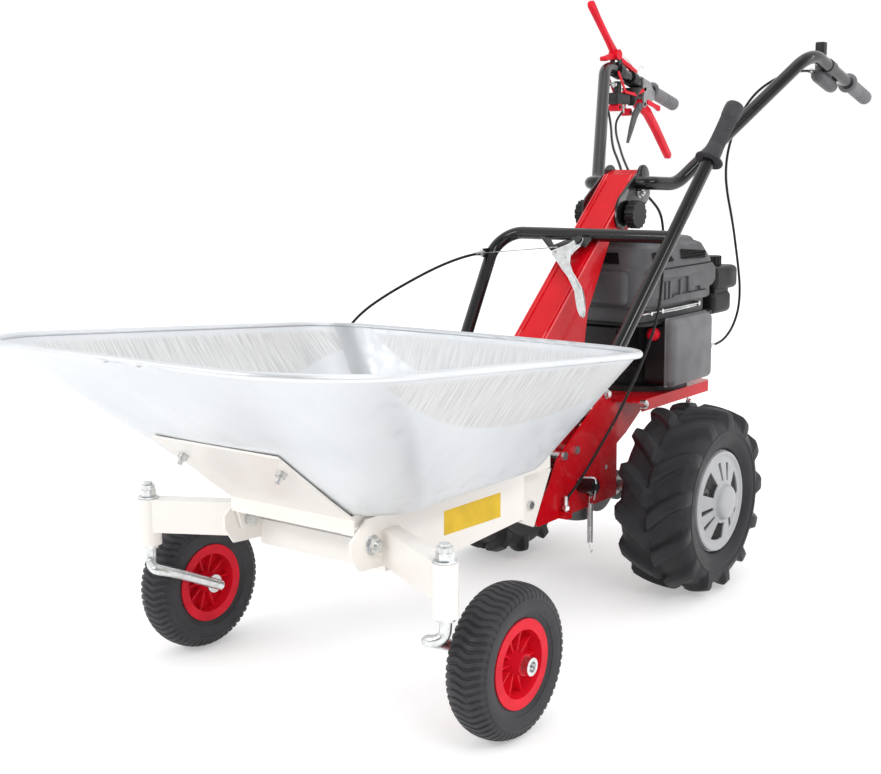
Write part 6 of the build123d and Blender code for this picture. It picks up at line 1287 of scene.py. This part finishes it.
# %% Right-hand levers
arm = joined(
    slab(strip([(-0.558, 1.188), (-0.522, 1.222), (-0.470, 1.272), (-0.438, 1.305)],
               [0.0110, 0.0078, 0.0080, 0.0105]), -0.282, -0.268, 0.003, True),
    slab(strip([(-0.558, 1.188), (-0.503, 1.176)], [0.0090, 0.0065]), -0.280, -0.270, 0.002, True),
    boss(-0.558, 1.188, -0.288, -0.262, 0.0135),
    boss(-0.503, 1.176, -0.285, -0.265, 0.0060),
)
reverse_arm = make_piece("reverse_arm", arm, RED_PLASTIC, "reverse", node="reverse_lever")

blade = joined(
    slab(strip([(-0.688, 1.064), (-0.728, 1.044), (-0.774, 1.004), (-0.818, 0.960), (-0.850, 0.928)],
               [0.0135, 0.0130, 0.0120, 0.0112, 0.0105]), -0.2835, -0.2665, 0.004, True),
    boss(-0.688, 1.064, -0.286, -0.264, 0.0140),
)
clutch_blade = make_piece("clutch_blade", blade, RED_PLASTIC, "clutch", node="clutch_lever")

trip = joined(
    slab(strip([(-0.640, 1.056), (-0.618, 1.034), (-0.600, 1.000), (-0.582, 0.964)],
               [0.0100, 0.0105, 0.0080, 0.0024]), -0.2532, -0.2455, 0.0015, True),
    boss(-0.640, 1.056, -0.2535, -0.2445, 0.0105),
)
safety_blade = make_piece("safety_blade", trip, DARK_PLASTIC_PAINTED_SHEEN, "safety", node="safety_lever")
print("Levers:", reverse_arm.name, clutch_blade.name, safety_blade.name)

# %% [markdown]
# ### The cluster that holds the levers
# Two bands clamp a red sheet bracket under the tube. It carries the switch body, a funnel-shaped cable
# guide, two red cable wheels and a cast lever perch, and a red link with a wire hook runs back over the
# tube from the reverse lever's pivot. Bright ferrules end the two cables that come up to it.

# %% Lever cluster
BAR_PLACE = Vector((-0.512, 1.164))
BAR_SLOPE = Vector((-0.9663, -0.2573))
BAR_ACROSS = 0.276


def band(from_x, length, radius, side):
    """A clamp band round the handlebar tube, from a station on it."""
    share = (from_x - BAR_PLACE.x) / BAR_SLOPE.x
    low = BAR_PLACE + BAR_SLOPE * share
    high = low + BAR_SLOPE * length
    across = side * BAR_ACROSS
    return rod_between((low.x, across, low.y), (high.x, across, high.y), radius, 32)


BRACKET_SIDE = strip(
    [(-0.548, 1.142), (-0.584, 1.094), (-0.640, 1.088), (-0.690, 1.104)], [0.0042, 0.0040, 0.0042, 0.0046]
)
bracket = joined(
    slab(BRACKET_SIDE, -0.2945, -0.2925),
    slab(BRACKET_SIDE, -0.2595, -0.2575),
    boss(-0.566, 1.055, -0.292, -0.264, 0.0110),
    boss(-0.624, 1.043, -0.290, -0.266, 0.0100),
    slab(strip([(-0.590, 1.100), (-0.570, 1.058)], [0.0070, 0.0080]), -0.290, -0.284),
    slab(strip([(-0.624, 1.092), (-0.624, 1.046)], [0.0070, 0.0070]), -0.290, -0.284),
    slab(strip([(-0.574, 1.181), (-0.662, 1.148)], [0.0065, 0.0060]), -0.280, -0.270, 0.002, True),
    slab(strip([(-0.706, 1.070), (-0.738, 1.062), (-0.764, 1.054)], [0.0060, 0.0050, 0.0075]), -0.2625,
         -0.2565),
)
cluster_red = make_piece("cluster_red", bracket, RED_PLASTIC, "handlebar", node="right_control_housing")

REVERSE_EAR = strip([(-0.566, 1.160), (-0.559, 1.186)], [0.0100, 0.0080])
guide = bmesh.new()
bmesh.ops.create_cone(
    guide, cap_ends=True, segments=32, radius1=0.0085, radius2=0.0270, depth=0.046,
    matrix=Matrix.Translation((AXLE - 0.646, -0.276, 1.083)),
)
bodies = joined(
    guide,
    rounded_block((-0.616, -0.2915, 1.062), (-0.544, -0.2605, 1.092), 0.006),
    rounded_block((-0.574, -0.2800, 1.084), (-0.556, -0.2640, 1.121), 0.003),
    band(-0.562, 0.022, 0.0205, -1),
    band(-0.632, 0.022, 0.0205, -1),
    boss(-0.566, 1.055, -0.294, -0.262, 0.0045),
    boss(-0.624, 1.043, -0.292, -0.264, 0.0042),
    slab(REVERSE_EAR, -0.2665, -0.2625),
    slab(REVERSE_EAR, -0.2880, -0.2840),
)
cluster_dark = make_piece("cluster_dark", bodies, CONTROL_PLASTIC, "handlebar", 40, "right_control_housing")

PERCH = [
    (-0.676, 1.134), (-0.704, 1.126), (-0.742, 1.098), (-0.740, 1.078), (-0.712, 1.066), (-0.694, 1.080),
    (-0.678, 1.104),
]
CLUTCH_EAR = strip([(-0.690, 1.092), (-0.688, 1.064)], [0.0090, 0.0085])
perch = joined(
    slab(PERCH, -0.2925, -0.2872, 0.0015),
    slab(PERCH, -0.2635, -0.2575, 0.0015),
    band(-0.682, 0.040, 0.0198, -1),
    boss(-0.688, 1.064, -0.292, -0.258, 0.0050),
    slab(CLUTCH_EAR, -0.2625, -0.2580),
    slab(CLUTCH_EAR, -0.2920, -0.2875),
)
lever_perch = make_piece("lever_perch", perch, PERCH_CAST, "handlebar", 40, node="right_control_housing")
cable_ends = rods(
    ((-0.590, -0.2700, 1.040), (-0.590, -0.2715, 1.066), 0.0050),
    ((-0.590, -0.2707, 1.052), (-0.590, -0.2711, 1.058), 0.0078, 6),
    ((-0.528, -0.2720, 1.112), (-0.562, -0.2720, 1.112), 0.0050),
    ((-0.545, -0.2720, 1.112), (-0.551, -0.2720, 1.112), 0.0078, 6),
)
make_piece("lever_cable_ends", cable_ends, ZINC, "handlebar")
print("Cluster:", cluster_red.name, cluster_dark.name, lever_perch.name)

# %% Wire hook on the link
def from_axle(route):
    """Moves the places of a route from the axle to the frame."""
    return [(AXLE + x, y, z) for x, y, z in route]


def wire_piece(name, route, radius, body):
    """A bent zinc wire along a route, X from the axle."""
    line = smooth_line(name, from_axle(route), radius)
    line.materials.append(ZINC)
    place_piece(name, line, body)


HOOK = [
    (-0.576, -0.275, 1.181), (-0.590, -0.275, 1.188), (-0.600, -0.275, 1.188), (-0.668, -0.275, 1.152),
    (-0.678, -0.275, 1.150), (-0.688, -0.275, 1.164), (-0.698, -0.275, 1.166), (-0.708, -0.275, 1.160),
]
wire_piece("link_hook", HOOK, 0.0012, "handlebar")
print("Hook of", len(HOOK), "points")

# %% [markdown]
# ### The throttle on the left tube
# The throttle's body is a turned capsule under the tube, with a band over the tube and a thumb lever. The
# cable leaves it through a bright adjusting screw.

# %% Throttle
CAPSULE = [
    (0.0, 0.0), (0.0, 0.0060), (0.0020, 0.0110), (0.0080, 0.0150), (0.0180, 0.0168), (0.0950, 0.0168),
    (0.1060, 0.0150), (0.1130, 0.0100), (0.1150, 0.0050), (0.1150, 0.0),
]
capsule = spun(CAPSULE, 32)
stand_along(capsule, Vector((AXLE - 0.588, 0.258, 1.118)), Vector((BAR_SLOPE.x, 0, BAR_SLOPE.y)))
throttle = joined(
    capsule,
    band(-0.612, 0.028, 0.0178, 1),
    rounded_block((-0.652, 0.244, 1.098), (-0.612, 0.274, 1.140), 0.005),
)
throttle_body = make_piece("throttle_body", throttle, DARK_PLASTIC_PAINTED_SHEEN, "handlebar", 50, node="throttle_housing")
thumb = joined(
    slab(strip([(-0.640, 1.112), (-0.637, 1.140), (-0.632, 1.168)], [0.0080, 0.0050, 0.0045]), 0.2424, 0.2374,
         0.001, True),
    rounded_block((-0.650, 0.2375, 1.162), (-0.628, 0.2600, 1.195), 0.0035),
    rounded_block((-0.6505, 0.2410, 1.168), (-0.6275, 0.2565, 1.190), 0.0015),
)
throttle_thumb = make_piece("throttle_thumb", thumb, CONTROL_PLASTIC, "throttle", node="throttle_lever")
screw = rods(
    ((-0.592, 0.252, 1.124), (-0.560, 0.252, 1.124), 0.0042),
    ((-0.576, 0.252, 1.124), (-0.569, 0.252, 1.124), 0.0065, 6),
)
make_piece("throttle_screw", screw, ZINC, "handlebar")
print("Throttle:", throttle_body.name, throttle_thumb.name)

# %% [markdown]
# ### Handlebar bracket
# Two black plates hold the tubes on the column. Each has a round ear at its top, a hexagon bolt where it
# swings and the clamp rod below.

# %% Handlebar bracket
EAR = (-0.142, 0.886)
EAR_R = 0.026
SWING = (-0.122, 0.850)
PLATE_FACES = (0.0406, 0.0456)
SWING_BOLT = [(0.0456, 0.0476, 0.0110, 24), (0.0476, 0.0550, 0.0085, 6), (0.0550, 0.0590, 0.0045, 12)]
ear_turns = [radians(turn) for turn in range(185, 19, -15)]
BRACKET_PLATE = [(EAR[0] + EAR_R * cos(turn), EAR[1] + EAR_R * sin(turn)) for turn in ear_turns]
BRACKET_PLATE += [(-0.098, 0.884), (-0.036, 0.842), (-0.025, 0.828), (-0.020, 0.792), (-0.028, 0.778)]
BRACKET_PLATE += [(-0.050, 0.772), (-0.112, 0.796), (-0.166, 0.834), (-0.172, 0.846), (-0.170, 0.872)]
plates = []
bolts = []
for side in (1, -1):
    plates.append(slab(BRACKET_PLATE, side * PLATE_FACES[0], side * PLATE_FACES[1], 0.0012))
    for near, far, radius, sides in SWING_BOLT:
        bolts.append(boss(*SWING, side * near, side * far, radius, sides))
plates.append(boss(*SWING, -PLATE_FACES[1], PLATE_FACES[1], 0.006))
bracket_plates = make_piece("bracket_plates", joined(*plates), BLACK, "handlebar", node="handlebar_bracket")
make_piece("bracket_bolts", joined(*bolts), ZINC, "handlebar")
print("Bracket plates:", len(bracket_plates.data.polygons), "faces")

# %% [markdown]
# ## Release lever
# The lever that frees the tray is a pressed plate on the slope of the column: a broad head with two lobes,
# a narrow neck and a paddle with one folded edge. It is drawn flat, X across the machine and Z up the
# slope, and then laid on its plane at the pivot. A black strip hangs it from the crossbar, and a thin wire
# joins it to the cable's end.

# %% Release lever
LEVER_PIVOT = Vector((0.079, 0.012, 0.753))
LEVER_OUT = Vector((0.669637, 0, 0.742688))
LEVER_HEAD = [
    (-0.0090, 0.0060), (-0.0045, 0.0098), (0.0040, 0.0100), (0.0095, 0.0050), (0.0107, -0.0040),
    (0.0080, -0.0140), (0.0005, -0.0300), (-0.0005, -0.0440), (0.0090, -0.0660), (0.0315, -0.0957),
]
LEVER_PADDLE = [
    (0.0550, -0.1180), (0.0735, -0.1380), (0.0860, -0.1570), (0.0945, -0.1730), (0.1045, -0.1930),
    (0.1095, -0.2070), (0.1075, -0.2135), (0.1010, -0.2120), (0.0900, -0.2000), (0.0797, -0.1850),
    (0.0670, -0.1640), (0.0568, -0.1465), (0.0400, -0.1270), (0.0222, -0.1074),
]
LEVER_TAIL = [
    (0.0000, -0.0880), (-0.0271, -0.0623), (-0.0495, -0.0425), (-0.0525, -0.0365), (-0.0505, -0.0310),
    (-0.0444, -0.0260), (-0.0215, -0.0110),
]
LEVER_FOLD = [(0.0115, -0.0720), (0.0310, -0.0970), (0.0730, -0.1390), (0.0935, -0.1735), (0.1070, -0.2040)]
HANGER = [(-0.107, 0.024), (-0.062, -0.018), (-0.040, -0.004), (0.004, 0.004)]


def lay_on_slope(shape):
    """Lays a slab that is drawn flat on the lever's plane, at its pivot."""
    out = LEVER_OUT
    turned = Matrix(((0, -out.x, -out.z), (1, 0, 0), (0, -out.z, out.x))).to_4x4()
    pivot = Matrix.Translation(LEVER_PIVOT + Vector((AXLE, 0, 0)))
    place = pivot @ turned @ Matrix.Translation((-AXLE, 0, 0))
    bmesh.ops.transform(shape, matrix=place, verts=shape.verts)
    return shape


plate = joined(
    slab(LEVER_HEAD + LEVER_PADDLE + LEVER_TAIL, 0.0024, -0.0024, 0.0012),
    slab(strip(LEVER_FOLD, [0.0014] * len(LEVER_FOLD)), -0.0010, -0.0085, 0.0008),
    boss(0.0, 0.0, -0.0020, -0.0048, 0.0058),
    boss(-0.0115, -0.0500, -0.0020, -0.0036, 0.0034),
    boss(-0.0440, -0.0335, -0.0020, -0.0040, 0.0036),
)
release_plate = make_piece("release_plate", lay_on_slope(plate), ZINC, "release", node="release_lever")
hanger = slab(strip(HANGER, [0.0095, 0.0085, 0.0075, 0.0100]), 0.0066, 0.0032, 0.0008)
make_piece("lever_hanger", lay_on_slope(hanger), BLACK, "tipping_tray")

WIRE_FROM = (0.096, -0.032, 0.7395)
WIRE_TO = (0.118, -0.214, 0.722)
inner = bpy.data.meshes.new("release_wire")
strand = rod_between(WIRE_FROM, WIRE_TO, 0.0011, 8)
strand.to_mesh(inner)
strand.free()
inner.materials.append(STEEL)
inner.shade_smooth()
release_wire = place_piece("release_wire", inner)
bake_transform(release_wire)
print("Release lever:", len(release_plate.data.polygons), "faces")

# %% [markdown]
# ## Caster forks
# Each front wheel hangs on one bent rod: down through the sleeve, in and back with a tight bend, along the
# wheel's inner side and out through the hub. The rod follows a NURBS line and becomes a mesh, so its axle,
# washers and collar can join it in one piece.

# %% Caster forks
FORK_R = 0.0100
FORK_ROUTE = [
    (1.000, 0.344, 0.334), (1.000, 0.344, 0.260), (1.000, 0.344, 0.226), (1.002, 0.343, 0.206),
    (1.010, 0.330, 0.199), (1.013, 0.315, 0.197), (0.994, 0.3075, 0.190), (0.960, 0.3085, 0.175),
    (0.900, 0.310, 0.146), (0.862, 0.310, 0.128),
]
FORK_RODS = [
    ((1.000, 0.344, 0.2328), (1.000, 0.344, 0.2384), 0.0150, 32),
    ((1.000, 0.344, 0.3430), (1.000, 0.344, 0.3520), 0.0128, 24),
    ((1.000, 0.344, 0.3520), (1.000, 0.344, 0.3570), 0.0088, 24),
    ((0.866, 0.306, 0.130), (0.866, 0.408, 0.130), 0.0088, 24),
    ((0.866, 0.3215, 0.130), (0.866, 0.3254, 0.130), 0.0175, 32),
]


def bent_rod(route, radius):
    """A round rod along a NURBS line, X from the axle, as a shape."""
    solid = curve_mesh(smooth_line("rod line", from_axle(route), radius, 5))
    shape = bmesh.new()
    shape.from_mesh(solid)
    bmesh.ops.remove_doubles(shape, verts=shape.verts, dist=MERGE)
    bmesh.ops.recalc_face_normals(shape, faces=shape.faces)
    return shape


for side_name, side in SIDES:
    shapes = [bent_rod(to_side(side, *FORK_ROUTE), FORK_R)]
    for start, end, radius, sides in FORK_RODS:
        shapes.append(rod_between(*to_side(side, start, end), radius, sides))
    fork = "caster_fork_" + side_name
    caster_rod = make_piece(
        "caster_rod_" + side_name, joined(*shapes), ZINC, "caster_" + side_name, 40, fork
    )
print("Caster rods:", len(caster_rod.data.polygons), "faces each")

# %% [markdown]
# ## Small fittings
# Bright bits catch the eye on the real machine: the wire that locks the coupler pin, ferrules and nuts
# where cables end, and bolts on the hitch plate and the deck. Beads along the edges and seams of the
# column's front face are a lighter red, a painted highlight. The side plate also has a yellow patch, which
# stays blank here.

# %% Small fittings
PIN_CLIP = [
    (0.188, 0.080, 0.254), (0.188, 0.084, 0.260), (0.184, 0.100, 0.262), (0.180, 0.112, 0.262),
    (0.176, 0.1155, 0.260), (0.174, 0.1165, 0.246), (0.177, 0.1165, 0.230), (0.182, 0.1155, 0.214),
]
wire_piece("pin_clip", PIN_CLIP, 0.0021, "chassis")

ferrules = rods(
    ((0.246, 0.086, 0.199), (0.246, 0.086, 0.232), 0.0052, 20),
    ((0.246, 0.086, 0.203), (0.246, 0.086, 0.211), 0.0085, 6),
    ((-0.300, 0.135, 0.486), (-0.326, 0.135, 0.486), 0.0048, 20),
    ((-0.304, 0.135, 0.486), (-0.310, 0.135, 0.486), 0.0075, 6),
)
make_piece("cable_ferrules", ferrules, ZINC, "chassis")
ends = rods(
    ((0.116, -0.2151, 0.722), (0.146, -0.2151, 0.722), 0.0048, 20),
    ((0.122, -0.2151, 0.722), (0.129, -0.2151, 0.722), 0.0078, 6),
    ((0.430, -0.182, 0.350), (0.430, -0.212, 0.350), 0.0048, 20),
    ((0.430, -0.190, 0.350), (0.430, -0.197, 0.350), 0.0078, 6),
)
make_piece("release_ferrules", ends, ZINC, "tipping_tray")

WASHER_TOP = 0.0016
HEAD_TOP = 0.0080
small_bolts = []
for x, z, face in ((0.064, 0.421, 0.075), (-0.228, 0.363, 0.122)):
    small_bolts.append(boss(x, z, face - 0.001, face + WASHER_TOP, 0.0105))
    small_bolts.append(boss(x, z, face + WASHER_TOP, face + HEAD_TOP, 0.0080, 6))
small_bolts.append(boss(-0.008, 0.392, 0.120, 0.1335, 0.0095))
small_bolts.append(boss(-0.008, 0.392, 0.1335, 0.1365, 0.0060))
make_piece("small_bolts", joined(*small_bolts), ZINC, "chassis")

EDGE_TOP = (-0.1131, 0.8908)
EDGE_LOW = (0.2520, 0.5616)
# The beads' lighter red is a painted highlight along the edges and seams of the column.
beads = []
for across in (0.0389, 0.0312, -0.0312, -0.0389):
    top_end = (EDGE_TOP[0], across, EDGE_TOP[1])
    low_end = (EDGE_LOW[0], across, EDGE_LOW[1])
    beads.append(rod_between(top_end, low_end, 0.0017, 12))
make_piece("column_beads", joined(*beads), RED_BEAD_HIGHLIGHT, "chassis")

BLANK_PATCH = [(0.576, 0.319), (0.5765, 0.272), (0.7498, 0.277), (0.749, 0.3214)]
make_piece("blank_patch", slab(BLANK_PATCH, 0.1496, 0.1507), PATCH, "chassis")
print("Small bolts:", len(small_bolts), "shapes, beads:", len(beads))

# %% [markdown]
# ## Measure and finish
# The dressed machine has to keep the size of its frame. The two boxes are written side by side, so that a
# piece that grew too far shows at once.

# %% Measure and finish
dressed_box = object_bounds()
for name, (low, high) in (("CAD", cad_box), ("dressed", dressed_box)):
    print(name, [round(b - a, 4) for a, b in zip(low, high)])
